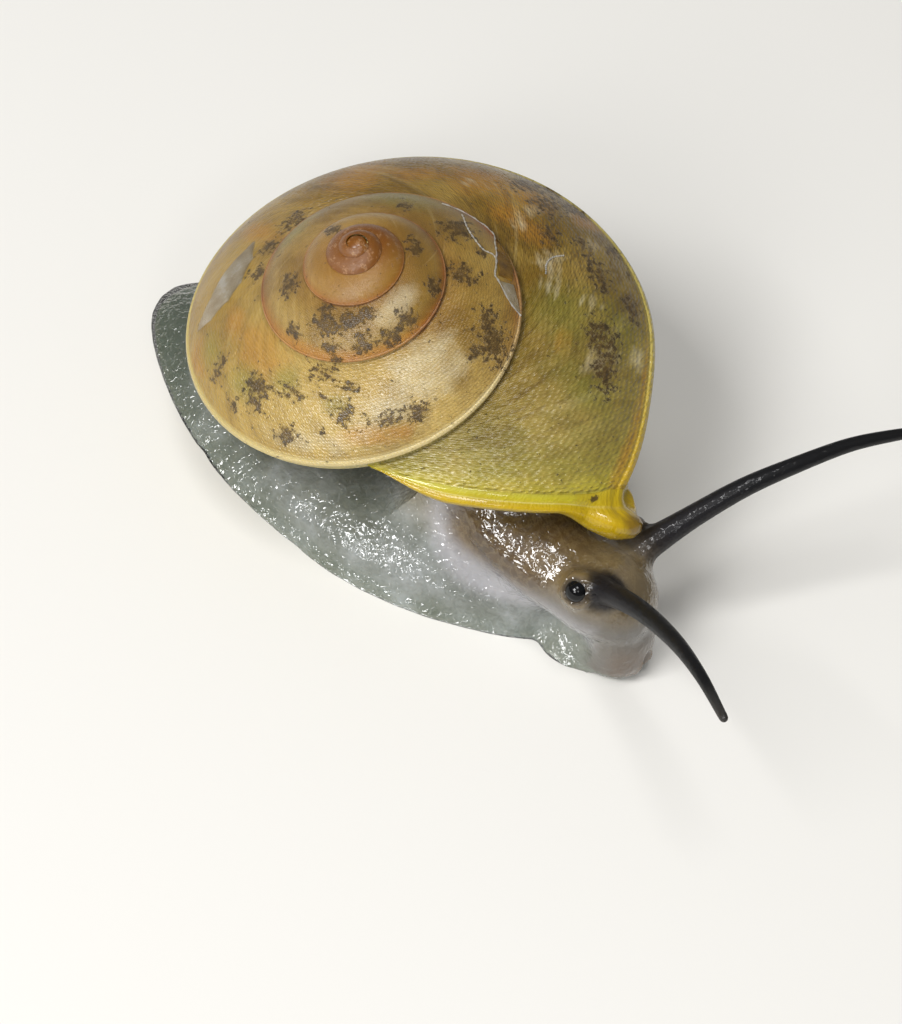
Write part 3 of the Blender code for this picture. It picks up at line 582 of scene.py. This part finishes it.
def along_edge(rows, length):
    """A row of numbers at a length along the opening's edge from the suture."""
    return Vector([float(np.interp(length, edge_lengths, [p[axis] for p in rows])) for axis in range(3)])


def edge_at(length):
    """The place on the opening's edge at a length from the suture, and the way out of the shell there."""
    along = (along_edge(edge, length + 0.7) - along_edge(edge, length - 0.7)).normalized()
    return along_edge(edge, length), opening_down.cross(along).normalized()


def eased(value):
    """0 below 0, 1 above 1, smooth between."""
    value = min(1.0, max(0.0, value))
    return value * value * (3 - 2 * value)


bpy.ops.object.select_all(action="DESELECT")
bpy.ops.mesh.primitive_grid_add(x_subdivisions=len(LIP_SECTION) - 1, y_subdivisions=LIP_PARTS, size=1)
lip = bpy.context.object
lip_places = []
for k in range(LIP_PARTS + 1):
    length = edge_lengths[-1] * k / LIP_PARTS
    point, out = edge_at(length)
    ahead = along_edge(onward, length).normalized()
    away = length - keel_length
    drop = eased((BEAK_BELOW - away) / 1.1) if away > 0 else eased((BEAK_ABOVE + away) / 2.3)
    reach = max(0.0, 1 - (away / BEAK_REACH) ** 2) ** 1.5
    end = max(0.05, eased(min(length / 3.6 + 0.10, (edge_lengths[-1] - length) / 2.2)))
    for j, (o, d, beak_out, beak_down) in enumerate(LIP_SECTION):
        d *= end
        o *= end
        turned = max(0.0, min(d, LIP_TURNS_DOWN)) ** 2 / (2 * LIP_TURNS_DOWN) + max(0.0, d - LIP_TURNS_DOWN)
        place = point + ahead * (d - turned) + opening_down * (turned + BEAK_DROP * beak_down * drop)
        place += out * (o + beak_out * reach)
        lip.data.vertices[k * len(LIP_SECTION) + j].co = place
        lip_places.append((j / (len(LIP_SECTION) - 1), away))
lip.data.uv_layers[0].name = "rim"
for loop in lip.data.loops:
    across, away = lip_places[loop.vertex_index]
    lip.data.uv_layers[0].data[loop.index].uv = (across, away / 10)
bpy.ops.object.mode_set(mode="EDIT")
bpy.ops.mesh.select_all(action="DESELECT")
bpy.ops.mesh.select_mode(type="EDGE")
bpy.ops.object.mode_set(mode="OBJECT")
row_size = len(LIP_SECTION)
end_rows = {*range(row_size), *range(LIP_PARTS * row_size, (LIP_PARTS + 1) * row_size)}
first_column = {k * row_size for k in range(LIP_PARTS + 1)}
last_column = {k * row_size + row_size - 1 for k in range(LIP_PARTS + 1)}
for side in lip.data.edges:
    side.select = any(set(side.vertices) <= rim for rim in (end_rows, first_column, last_column))
bpy.ops.object.mode_set(mode="EDIT")
bpy.ops.mesh.edge_face_add()
bpy.ops.mesh.select_all(action="SELECT")
bpy.ops.mesh.normals_make_consistent(inside=False)
bpy.ops.object.mode_set(mode="OBJECT")

# The callus: a small smooth pad of the same lime, laid over the middle of the shell's base, where the
# lip ends.

hub = coil_place(*columns[-1][1:])
bpy.ops.object.select_all(action="DESELECT")
bpy.ops.mesh.primitive_uv_sphere_add(segments=48, ring_count=24, radius=1,
                                     location=hub + Vector((0, 0, CALLUS_LIFT)))
callus = bpy.context.object
callus.scale = CALLUS_SIZE
bpy.ops.object.transform_apply(location=True, rotation=True, scale=True)
callus.data.uv_layers[0].name = "rim"
for corner in callus.data.uv_layers[0].data:
    corner.uv = (0.92, 0.9)
pick(lip)
callus.select_set(True)
bpy.ops.object.join()
bpy.ops.object.shade_smooth()

# Polished lime of the lip: yellow-green where the skin still covers it, a pale line where that ends, an
# orange-yellow ridge under a clear glaze, a worn brown edge to the beak and a brown speck beside it.

lip_finish, t, shader = new_material("glossy_lip_lime")
place = node(t, "TexCoord", out="Object")
rim_map = node(t, "UVMap", uv_map="rim")
across = node(t, "SeparateXYZ", rim_map)
away = node(t, "SeparateXYZ", rim_map, out=1)
base = node(t, "ValToRGB", across,
            stops=[(0.0, "#998f34"), (0.14, "#a89e22"), (0.235, "#b0a012"), (0.27, "#c4b666"),
                   (0.305, "#ab9400"), (0.36, "#aa8f00"), (0.46, "#b19400"), (0.52, "#9c8200"),
                   (0.66, "#a88e18"), (0.82, "#c2b06c"), (1.0, "#c0b88e")])
mottle = node(t, "TexNoise", {"Vector": place, "Scale": 900.0, "Detail": 3.0})
along_rim = node(t, "Math", away, operation="ABSOLUTE")
tip_near = node(t, "VectorMath", rim_map, (1 / 0.1, 1 / 0.045, 0), (-0.44 / 0.1, 0.0, 0),
                operation="MULTIPLY_ADD")
tip_far = node(t, "VectorMath", tip_near, out=1, operation="LENGTH")
spot_near = node(t, "VectorMath", rim_map, (1 / 0.05, 1 / 0.02, 0), (-0.15 / 0.05, 0.125 / 0.02, 0),
                 operation="MULTIPLY_ADD")
spot_far = node(t, "VectorMath", spot_near, out=1, operation="LENGTH")
rough_tip = node(t, "Math", mottle, -1.2, tip_far, operation="MULTIPLY_ADD")
spot_edge = node(t, "TexNoise", {"Vector": place, "Scale": 4600.0, "Detail": 4.0, "Roughness": 0.7})
rough_spot = node(t, "Math", spot_edge, -3.0, spot_far, operation="MULTIPLY_ADD")
colour_layers = (
    (node(t, "MapRange", mottle, 0.45, 0.7, 0.0, 0.4), "#947a00"),
    (node(t, "MapRange", along_rim, 0.2, 0.05, 0.0, 0.75), "#a88a00"),
    (node(t, "MapRange", rough_tip, 0.6, 0.15, 0.0, 0.85), "#6c520d"),
    (node(t, "MapRange", rough_spot, -0.6, -1.0, 0.0, 0.9), "#3a2a10"),
)
for strength, colour in colour_layers:
    base = node(t, "Mix", strength, {6: base, 7: colour}, out=2, data_type="RGBA")
fine_map = node(t, "VectorMath", rim_map, (12.0, 110.0, 1.0), operation="MULTIPLY")
fine = node(t, "TexNoise", {"Vector": fine_map, "Scale": 1.0, "Detail": 2.0})
bump = node(t, "Bump", {"Height": fine, "Strength": 0.6, "Distance": 0.00006})
for socket, output in (("Base Color", base), ("Normal", bump)):
    t.links.new(output, shader.inputs[socket])
set_shader(shader, Roughness=0.42, IOR=1.50, Specular_IOR_Level=0.25, Subsurface_Weight=0.20,
           Subsurface_Scale=0.0004, Coat_Weight=0.7, Coat_Roughness=0.06)
shader.inputs["Subsurface Radius"].default_value = (1.0, 0.75, 0.3)
lip.data.materials.append(lip_finish)
settle(lip, "lip", SHELL_CARRIED)
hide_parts("shell_lip")


# Skin: one wet, rough hide over foot, neck, head, snout and tentacles. It starts from copies of the
# solids of the flesh, swollen to close the cuts between them, made one skin, and drawn in again.

FLESH = ("foot_tail", "foot_middle", "foot_front", "mantle", "neck", "head", "snout")
SWELL = 0.25
SKIN_GRAIN = 0.095
STALK_RADIUS = 0.49
STALK_TAPER = 0.33
STALK_FLARE = 0.40
TENTACLES = {
    "right": ((10.9, -0.7, 3.5), (11.62, -1.08, 4.3), (13.32, -1.80, 5.5), (15.28, -2.85, 6.6),
              (17.05, -3.92, 7.3), (18.81, -4.97, 7.6)),
    "left": ((10.7, 1.2, 3.4), (11.16, 1.88, 4.3), (11.78, 3.42, 5.4), (12.38, 4.78, 6.3),
             (13.05, 6.35, 6.9), (13.84, 8.43, 7.3), (14.75, 10.18, 7.5), (15.30, 11.20, 7.5)),
}
EYES = {"right": Vector((10.86, -1.66, 4.05)), "left": Vector((10.24, 2.31, 3.97))}
EYE_RADIUS = 0.39
EYE_SEAT = 0.60
CHEEK_FILL = ((8.2, -0.95, 2.25), 0.75)
PLUG_INSET = 0.42
PLUG_DEPTH = 1.5
PLUG_BULGE = 1.7
PLUG_RIM = 75
PLUG_CHORD = 25
MARGIN_SPREAD = 0.34
SOLE_DROP = 0.34
MOUTH_PLACE = (12.05, 0.46)
MOUTH_TURN = 9
MOUTH_DEPTH = 0.22
MOUTH_LIPS = 0.07
LID_PLACE = (-4.6, -0.1, 1.40)
LID_SIZE = (6.2, 4.2)
LID_TILT = -2.5
HEAD_LINE = (
    # the middle of the neck and head, and their half width and half height
    (5.60, -0.40, 3.70, 1.50, 1.10), (6.80, -0.20, 3.40, 2.10, 1.50), (8.40, 0.05, 3.00, 2.15, 1.50),
    (10.00, 0.15, 2.80, 1.95, 1.50), (11.20, 0.15, 2.95, 1.80, 1.65), (12.00, 0.25, 2.85, 1.48, 1.55),
    (12.60, 0.35, 2.65, 1.05, 1.20), (12.90, 0.42, 2.55, 0.50, 0.60),
)

bpy.ops.object.select_all(action="DESELECT")
copies = []
for name in FLESH:
    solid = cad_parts[name]
    copied = bpy.data.objects.new("flesh", solid.data.copy())
    bpy.context.scene.collection.objects.link(copied)
    copied.data.transform(Matrix.Translation(-SNAIL_PLACE) @ Matrix.Scale(1 / MM, 4))
    copied.data.materials.clear()
    copies.append(copied)
    copied.select_set(True)
bpy.context.view_layer.objects.active = copies[0]
skin = copies[0]
bpy.ops.object.join()
bpy.ops.object.mode_set(mode="EDIT")
bpy.ops.mesh.select_all(action="SELECT")
bpy.ops.mesh.remove_doubles(threshold=0.001)
bpy.ops.object.mode_set(mode="OBJECT")
finish_with(skin, "DISPLACE", strength=SWELL, mid_level=0.0, direction="NORMAL")

extras = []
tentacle_lines = {}
for side, points in TENTACLES.items():
    line = smooth_line(points, 60)
    tentacle_lines[side] = line
    end_way = (line[-1] - line[-2]).normalized()
    stalk_rows = []
    for k, point in enumerate(line):
        part = k / 60
        flare = STALK_FLARE * max(0.0, 1 - part / 0.30) ** 2
        stalk_rows.append((point, STALK_RADIUS - STALK_TAPER * part + flare + SWELL))
    for further, thick in ((0.15, 0.93), (0.28, 0.73), (0.36, 0.47), (0.40, 0.15)):
        stalk_rows.append((line[-1] + end_way * further, 0.41 * thick))
    bpy.ops.object.select_all(action="DESELECT")
    bpy.ops.curve.primitive_nurbs_path_add()
    stalk = bpy.context.object
    stalk.data.splines.clear()
    spline = stalk.data.splines.new("POLY")
    spline.points.add(len(stalk_rows) - 1)
    for row, (point, radius) in zip(spline.points, stalk_rows):
        row.co = (*point, 1)
        row.radius = radius
    stalk.data.dimensions = "3D"
    stalk.data.bevel_depth = 1
    stalk.data.bevel_resolution = 6
    stalk.data.use_fill_caps = True
    bpy.ops.object.convert(target="MESH")
    extras.append(bpy.context.object)
for side, place in EYES.items():
    inwards = (Vector((10.6, 0.35, 4.05)) - place - Vector((0, 0, 1.0))).normalized()
    bpy.ops.object.select_all(action="DESELECT")
    bpy.ops.mesh.primitive_uv_sphere_add(segments=32, ring_count=16, radius=EYE_SEAT + SWELL,
                                         location=place + inwards * 0.40)
    extras.append(bpy.context.object)

# A ball fills the fold under the cheek, and a plug of flesh fills the shell's opening round the mantle.

bpy.ops.object.select_all(action="DESELECT")
bpy.ops.mesh.primitive_uv_sphere_add(segments=32, ring_count=16, radius=CHEEK_FILL[1] + SWELL,
                                     location=CHEEK_FILL[0])
extras.append(bpy.context.object)
bpy.ops.object.select_all(action="DESELECT")
bpy.ops.mesh.primitive_circle_add(vertices=PLUG_RIM + PLUG_CHORD, radius=1, fill_type="NGON")
plug = bpy.context.object
rim = []
for k in range(PLUG_RIM):
    point, out = edge_at(edge_lengths[-1] * (0.01 + 0.98 * k / (PLUG_RIM - 1)))
    rim.append(point - out * (PLUG_INSET + SWELL) + opening_down * 0.12)
chord = rim[0] - rim[-1]
inner_side = rim[-1] + chord / 2 - sum(rim, Vector()) / PLUG_RIM
inner_side = (inner_side - chord * inner_side.dot(chord) / chord.length_squared).normalized()
chord_start = rim[-1]
for k in range(1, PLUG_CHORD + 1):
    part = k / (PLUG_CHORD + 1)
    rim.append(chord_start + chord * part + inner_side * PLUG_BULGE * math.sin(math.pi * part) ** 0.6)
for _ in range(5):
    rim = [(rim[k - 1] + rim[k] * 2 + rim[(k + 1) % len(rim)]) / 4 for k in range(len(rim))]
for vert, point in zip(plug.data.vertices, rim):
    vert.co = SHELL_CARRIED @ point
bpy.ops.object.mode_set(mode="EDIT")
bpy.ops.mesh.select_all(action="SELECT")
bpy.ops.mesh.extrude_region_move(TRANSFORM_OT_translate={
    "value": SHELL_CARRIED.to_3x3() @ opening_down * -PLUG_DEPTH})
bpy.ops.transform.resize(value=(0.86, 0.86, 0.86))
bpy.ops.mesh.select_all(action="SELECT")
bpy.ops.mesh.normals_make_consistent(inside=False)
bpy.ops.object.mode_set(mode="OBJECT")
finish_with(plug, "BEVEL", width=0.35, segments=3, limit_method="ANGLE")
extras.append(plug)

pick(skin)
for extra in extras:
    extra.select_set(True)
bpy.ops.object.join()
skin.data.remesh_voxel_size = SKIN_GRAIN
skin.data.remesh_voxel_adaptivity = 0
bpy.ops.object.voxel_remesh()
finish_with(skin, "SMOOTH", factor=0.5, iterations=4)
finish_with(skin, "DISPLACE", strength=-SWELL, mid_level=0.0, direction="NORMAL")

count = len(skin.data.vertices)
places = np.empty(count * 3, dtype=np.float32)
skin.data.vertices.foreach_get("co", places)
places = places.reshape(-1, 3)


def nearest_on(line, points):
    """For each point, the distance to a line and how far along it that is, from 0 to 1."""
    samples = np.array([tuple(p) for p in line], dtype=np.float32)
    best = np.full(len(points), 1e9, dtype=np.float32)
    where = np.zeros(len(points), dtype=np.float32)
    for k, sample in enumerate(samples):
        far = np.linalg.norm(points - sample, axis=1)
        closer = far < best
        best[closer] = far[closer]
        where[closer] = k / (len(samples) - 1)
    return best, where


def ramped(values, low, high):
    """0 at low, 1 at high, smooth between."""
    t = np.clip((values - low) / (high - low), 0, 1)
    return t * t * (3 - 2 * t)


on_tentacle = np.zeros(count, dtype=np.float32)
along_tentacle = np.zeros(count, dtype=np.float32)
for side, line in tentacle_lines.items():
    far, where = nearest_on(line, places)
    near = 1 - ramped(far, 0.62 - 0.3 * where, 1.0 - 0.3 * where)
    on_tentacle = np.maximum(on_tentacle, near * ramped(where, 0.02, 0.17))
    along_tentacle = np.where(near > 0, where, along_tentacle)

at_crease = ramped(places[:, 0], 4.0, 6.0) * (1 - ramped(places[:, 0], 10.0, 11.5))
at_crease *= ramped(places[:, 2], 0.8, 1.3) * (1 - ramped(places[:, 2], 2.6, 3.2)) * (1 - on_tentacle)
for name, weights, passes in (("gentle", 1 - on_tentacle, 14), ("crease", at_crease, 70)):
    group = skin.vertex_groups.new(name=name)
    for weight in range(1, 11):
        chosen = np.nonzero(np.round(weights * 10) == weight)[0].tolist()
        if chosen:
            group.add(chosen, weight / 10, "REPLACE")
    finish_with(skin, "SMOOTH", factor=0.5, iterations=passes, vertex_group=name)


def skin_places(kind="co"):
    """The places of the skin's points, or their normals."""
    values = np.empty(count * 3, dtype=np.float32)
    if kind == "co":
        skin.data.vertices.foreach_get("co", values)
    else:
        skin.data.vertex_normals.foreach_get("vector", values)
    return values.reshape(-1, 3)


# The foot's thin margin is drawn out again, and the sole laid flat. On the tail a low lobe rises to carry
# the lid, and the mouth is an upright slit between two low lips, in front of the snout.

places, normals = skin_places(), skin_places("normal")
on_foot = ramped(-places[:, 0], -12.6, -10.5) * (1 - on_tentacle)
margin = (1 - ramped(places[:, 2], 0.15, 0.75)) * on_foot
flat_way = normals[:, :2] / np.maximum(np.linalg.norm(normals[:, :2], axis=1), 0.3)[:, None]
places[:, :2] += flat_way * (MARGIN_SPREAD * margin)[:, None]
ahead = np.array((math.cos(math.radians(MOUTH_TURN)), math.sin(math.radians(MOUTH_TURN))))
from_mouth = places[:, :2] - np.array(MOUTH_PLACE)
side_on = from_mouth[:, 0] * -ahead[1] + from_mouth[:, 1] * ahead[0]
front_on = from_mouth[:, 0] * ahead[0] + from_mouth[:, 1] * ahead[1]
mouth_height = ramped(places[:, 2], 0.05, 0.25) * (1 - ramped(places[:, 2], 0.95, 1.25))
at_mouth = ramped(front_on, 0.4, 0.8) * mouth_height
slit = np.exp(-(side_on / 0.13) ** 2)
lips = np.exp(-((np.abs(side_on) - 0.27) / 0.15) ** 2)
places[:, :2] += ahead * ((MOUTH_LIPS * lips - MOUTH_DEPTH * slit) * at_mouth)[:, None]
places[:, 2] -= SOLE_DROP * (1 - ramped(places[:, 2], SOLE_DROP, 1.1)) * on_foot
places[:, 2] = np.where(places[:, 2] < 0.06, 0.0, places[:, 2])
from_straight = (places[:, 1] - LID_PLACE[1]) / LID_SIZE[1] * 1.35 - 0.32
from_middle = (places[:, 0] - LID_PLACE[0]) / (LID_SIZE[0] / 2)
on_lid = np.hypot(from_middle, np.where(from_straight < 0, from_straight, from_straight / 0.35))
lid_level = LID_PLACE[2] + 0.05 + (places[:, 0] - LID_PLACE[0]) * math.tan(math.radians(-LID_TILT))
lobe = (1 - ramped(on_lid, 0.62, 0.98)) * (normals[:, 2] > 0.1) * (places[:, 2] > 0.3)
places[:, 2] += np.maximum(lid_level - places[:, 2], 0) * lobe
skin.data.vertices.foreach_set("co", places.astype(np.float32).reshape(-1))
skin.data.update()

over_head = np.full(count, 9.0)
for x, y, z, wide, tall in smooth_line(HEAD_LINE, 30):
    far = np.sqrt(((places[:, 0] - x) / 0.9) ** 2 + ((places[:, 1] - y) / (wide * 1.1)) ** 2
                  + ((places[:, 2] - z) / (tall * 1.1)) ** 2)
    over_head = np.minimum(over_head, far)
eye_far = np.minimum(*[np.linalg.norm(places - np.array(tuple(p)), axis=1) for p in EYES.values()])
snout_part = ramped(places[:, 0], 11.3, 12.2) * ramped(places[:, 2], 0.15, 0.5)
head_part = (1 - ramped(over_head, 0.86, 1.30)) * ramped(places[:, 2], 1.9, 3.2)
head_part = np.maximum.reduce((head_part, snout_part, 1 - ramped(eye_far, 0.9, 1.5), on_tentacle))
pale_cheek = ramped(places[:, 0], 8.8, 10.4) * (1 - ramped(places[:, 2], 2.7, 3.7))
pale_band = (1 - ramped(over_head, 1.2, 1.7)) * ramped(places[:, 2], 0.9, 1.6)
pale_band *= ramped(places[:, 0], 3.0, 6.0)
masks = {
    "head": head_part,
    "cheek": pale_cheek,
    "front": ramped(places[:, 0], 8.9, 11.0),
    "band": pale_band,
    "snout_tip": ramped(places[:, 0], 12.2, 12.9) * (1 - ramped(places[:, 2], 1.3, 2.4)),
    # The mouth's slit is painted dark: painted shade in the groove.
    "mouth": slit * at_mouth,
    "tentacle": on_tentacle,
    "tentacle_along": along_tentacle,
    "eye_ring": 1 - ramped(eye_far, 0.40, 0.60),
    "eye_shade": 1 - ramped(eye_far, 0.45, 1.10),
    # Near the floor the foot is painted darker and greener: painted shade with a green cast.
    "low": 1 - ramped(places[:, 2], 0.1, 1.1),
    "lobe": ramped(places[:, 0], 9.4, 10.4) * (1 - ramped(places[:, 2], 0.8, 1.7)) * (1 - snout_part),
    # The tail is painted dark green-grey, as if dark ground showed through its thin flesh: painted shade.
    "tail": 1 - ramped(places[:, 0], -7.5, -3.5),
    # Just under the shell the skin is painted darker and browner: painted shade.
    "painted_shade_under_shell": ramped(places[:, 2], 2.2, 3.8) * (1 - head_part) * (1 - on_tentacle),
}
for name, values in masks.items():
    store(skin, name, values.astype(np.float32))
skin.data.shade_smooth()

# Living snail skin: translucent, pale grey and wet on the foot, brown with fine pale threads on the neck
# and head, slate on the tentacles. Low warts about a quarter of a millimetre apart and a film of slime
# over them break up its shine into small glints.

skin_finish, t, shader = new_material("wet_snail_skin")
place = node(t, "TexCoord", out="Object")
cloud = node(t, "TexNoise", {"Vector": place, "Scale": 600.0, "Detail": 4.0, "Roughness": 0.6})
foot = node(t, "ValToRGB", cloud,
            stops=[(0.32, "#5c6058"), (0.48, "#6d716b"), (0.6, "#7f8380"), (0.74, "#9fa3a4")])


def tinted(tree, base, name, strength, colour):
    """A colour laid over another where a stored mask says."""
    return node(tree, "Mix",
                node(tree, "Math", node(tree, "Attribute", out="Fac", attribute_name=name), strength,
                     operation="MULTIPLY"), {6: base, 7: colour}, out=2, data_type="RGBA")


# Painted shade on the foot: darker and greener near the floor and on the tail, darker and browner under the
# shell.
for name, strength, colour in (("low", 0.40, "#626a58"), ("tail", 0.85, "#3e4638"),
                               ("painted_shade_under_shell", 0.60, "#7d7156"), ("lobe", 0.60, "#75796e"),
                               ("band", 0.75, "#a4a2a6")):
    foot = tinted(t, foot, name, strength, colour)
threads = node(t, "TexNoise",
               {"Vector": place, "Scale": 2300.0, "Detail": 4.0, "Roughness": 0.65, "Distortion": 0.4})
thread_line = node(t, "Math", node(t, "Math", threads, 0.5, operation="SUBTRACT"), operation="ABSOLUTE")
neck = node(t, "ValToRGB", cloud,
            stops=[(0.3, "#35250a"), (0.48, "#483411"), (0.62, "#58431c"), (0.78, "#6f5b31")])
neck = node(t, "Mix", node(t, "MapRange", thread_line, 0.06, 0.0, 0.0, 0.22), {6: neck, 7: "#86744b"},
            out=2, data_type="RGBA")
for name, strength, colour in (("front", 0.60, "#6b5e44"), ("cheek", 0.80, "#5a5854"),
                               ("snout_tip", 0.70, "#635242"), ("eye_shade", 0.60, "#66563a")):
    neck = tinted(t, neck, name, strength, colour)
base = node(t, "Mix", node(t, "Attribute", out="Fac", attribute_name="head"), {6: foot, 7: neck}, out=2,
            data_type="RGBA")
stalk_colour = node(t, "ValToRGB", node(t, "Attribute", out="Fac", attribute_name="tentacle_along"),
                    stops=[(0.08, "#2b231a"), (0.2, "#171517"), (0.45, "#0c0c0e"), (0.85, "#0a0a0b"),
                           (0.97, "#2a2826")])
base = node(t, "Mix", node(t, "Attribute", out="Fac", attribute_name="tentacle"),
            {6: base, 7: stalk_colour}, out=2, data_type="RGBA")
base = tinted(t, base, "eye_ring", 0.90, "#2e2417")
# Painted shade in the mouth's slit.
base = tinted(t, base, "mouth", 0.85, "#3a2a22")
warts = node(t, "TexVoronoi", {"Vector": place, "Scale": 3600.0, "Randomness": 1.0}, feature="SMOOTH_F1")
folds = node(t, "TexNoise", {"Vector": place, "Scale": 2400.0, "Detail": 2.0, "Distortion": 0.8})
relief = node(t, "Math", warts, -0.6, folds, operation="MULTIPLY_ADD")
calm = node(t, "Math", node(t, "Attribute", out="Fac", attribute_name="tentacle"),
            node(t, "Math", node(t, "Attribute", out="Fac", attribute_name="head"), 0.5,
                 operation="MULTIPLY"), operation="MAXIMUM")
rough_here = node(t, "Math", relief, node(t, "MapRange", calm, 0.0, 1.0, 1.0, 0.12), operation="MULTIPLY")
bump = node(t, "Bump", {"Height": rough_here, "Strength": 0.5, "Distance": 0.0001})
film = node(t, "TexNoise", {"Vector": place, "Scale": 4200.0, "Detail": 1.0, "Distortion": 0.8})
film = node(t, "Math", film, node(t, "MapRange", calm, 0.0, 0.5, 1.0, 0.4), operation="MULTIPLY")
wet = node(t, "Bump", {"Height": film, "Strength": 1.0, "Distance": 0.00012})
wetness = node(t, "MapRange", node(t, "Attribute", out="Fac", attribute_name="tentacle"), 0.0, 1.0, 1.0,
               0.22)
t.links.new(wetness, shader.inputs["Coat Weight"])
for socket, output in (("Base Color", base), ("Normal", bump), ("Coat Normal", wet)):
    t.links.new(output, shader.inputs[socket])
set_shader(shader, Roughness=0.55, IOR=1.40, Specular_IOR_Level=0.20, Subsurface_Weight=0.35,
           Subsurface_Scale=0.0006, Coat_Roughness=0.03, Coat_IOR=1.7)
shader.inputs["Subsurface Radius"].default_value = (1.0, 0.8, 0.6)
skin.data.materials.append(skin_finish)
settle(skin, "skin")
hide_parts(*FLESH, *[f"tentacle_{side}_{part}" for side in ("right", "left")
                            for part in ("base", "middle", "tip")])


# Eyes: a black bead on the outer side of each tentacle's root, which is a lens under clear skin. Each is
# half sunk in its seat in the skin.

# Wet clear skin over black: a deep gloss that shows the lamps as small points, and a faint grey rim painted
# in towards the edges, a painted reflection.

eye_finish, t, shader = new_material("glossy_eye")
set_shader(shader, Roughness=0.10, IOR=1.38)
# The grey that rises towards the bead's edges is a painted reflection.
ring = node(t, "LayerWeight", {"Blend": 0.25}, out=1)
t.links.new(node(t, "Mix", ring, {6: "#070708", 7: "#14161a"}, out=2, data_type="RGBA"),
            shader.inputs["Base Color"])
for side, place in EYES.items():
    bpy.ops.object.select_all(action="DESELECT")
    bpy.ops.mesh.primitive_uv_sphere_add(segments=48, ring_count=32, radius=EYE_RADIUS, location=place)
    eye = bpy.context.object
    bpy.ops.object.transform_apply(location=True, rotation=True, scale=True)
    bpy.ops.object.shade_smooth()
    eye.data.materials.append(eye_finish)
    settle(eye, "eye_" + side + "_bead")
    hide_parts("eye_" + side)


# Operculum: the horny half-moon lid that closes the shell when the snail is inside. It grows on the back
# of the tail and is carried flat there, with growth lines round a nucleus at its straight side.

LID_NUCLEUS = Vector((0, 1.0, 0))
LID_THICK = 0.34
LID_DISH = 0.10

lid_outline = []
for k in range(96):
    turn = 2 * math.pi * k / 96
    reach = math.sin(turn) if math.sin(turn) < 0 else 0.35 * math.sin(turn)
    lid_outline.append(Vector((math.cos(turn) * LID_SIZE[0] / 2, (reach + 0.32) * LID_SIZE[1] / 1.35, 0)))
bpy.ops.object.select_all(action="DESELECT")
bpy.ops.mesh.primitive_circle_add(vertices=96, radius=1, fill_type="TRIFAN")
lid = bpy.context.object
for k, point in enumerate(lid_outline):
    lid.data.vertices[k + 1].co = point * 0.99
lid.data.vertices[0].co = LID_NUCLEUS
bpy.ops.object.mode_set(mode="EDIT")
bpy.ops.mesh.select_all(action="SELECT")
bpy.ops.mesh.subdivide(number_cuts=7)
bpy.ops.object.mode_set(mode="OBJECT")
lid.data.attributes.new("ring", "FLOAT", "POINT")
for index, vert in enumerate(lid.data.vertices):
    part = min(1.0, (vert.co - LID_NUCLEUS).length / 3.2)
    turn = math.atan2(vert.co.y - LID_NUCLEUS.y, vert.co.x)
    lid.data.attributes["ring"].data[index].value = part + 0.02 * math.sin(turn * 2)
    vert.co.z = LID_DISH * part ** 2 + 0.012 * math.sin(part * 60)
finish_with(lid, "SOLIDIFY", thickness=LID_THICK, offset=1)
finish_with(lid, "BEVEL", width=0.05, segments=2, limit_method="ANGLE")
bpy.ops.object.shade_smooth_by_angle(angle=math.radians(40))

# Horn of the lid: satin and a little see-through, with paler and darker brown growth lines.

lid_finish, t, shader = new_material("horn_lid")
ring = node(t, "Attribute", out="Fac", attribute_name="ring")
lines = node(t, "TexNoise",
             {"W": node(t, "Math", ring, 38.0, operation="MULTIPLY"), "Scale": 1.0, "Detail": 2.0},
             noise_dimensions="1D")
base = node(t, "ValToRGB", lines,
            stops=[(0.3, "#3f2413"), (0.48, "#6b4122"), (0.62, "#8a5a30"), (0.78, "#a5774a")])
t.links.new(base, shader.inputs["Base Color"])
t.links.new(node(t, "Bump", {"Height": lines, "Strength": 0.6, "Distance": 0.00008}),
            shader.inputs["Normal"])
set_shader(shader, Roughness=0.34, IOR=1.54, Subsurface_Weight=0.1, Subsurface_Scale=0.0004)
lid.data.materials.append(lid_finish)
settle(lid, "lid",
       Matrix.Translation(LID_PLACE) @ Matrix.Rotation(math.radians(LID_TILT), 4, "Y"))
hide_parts("operculum")


# Floor and light: a plain matt pale floor that takes a soft shadow. One lamp hangs overhead, two in front
# give the wet skin its glints, a weak one stands to the right, and a wide one stands for the room.

bpy.ops.object.select_all(action="DESELECT")
bpy.ops.mesh.primitive_plane_add(size=3)
floor = bpy.context.object
floor.name = "floor"
floor_finish, t, shader = new_material("pale_floor")
set_shader(shader, Roughness=0.7)
shader.inputs["Base Color"].default_value = linear("#dfddd8")
floor.data.materials.append(floor_finish)

LIGHTS = (
    # name, place and size in metres, power in watts
    ("overhead", (0.00, -0.08, 0.38), 0.10, 0.40),
    ("front", (-0.05, -0.25, 0.25), 0.12, 0.95),
    ("front_low", (0.05, -0.30, 0.17), 0.09, 0.38),
    ("right", (0.20, -0.19, 0.27), 0.07, 0.12),
    ("room", (0.02, -0.30, 0.50), 0.55, 0.30),
)
for name, place, size, power in LIGHTS:
    aim = (-Vector(place)).to_track_quat("-Z", "Y").to_euler()
    bpy.ops.object.select_all(action="DESELECT")
    bpy.ops.object.light_add(type="AREA", location=place, rotation=aim)
    lamp = bpy.context.object
    lamp.name = name
    lamp.data.size = size
    lamp.data.energy = power

world = bpy.data.worlds.new("soft_room")
bpy.context.scene.world = world
world.use_nodes = True
world.node_tree.nodes["Background"].inputs[0].default_value = (0.84, 0.84, 0.84, 1.0)
world.node_tree.nodes["Background"].inputs[1].default_value = 0.25
bpy.context.scene.view_settings.view_transform = "Standard"
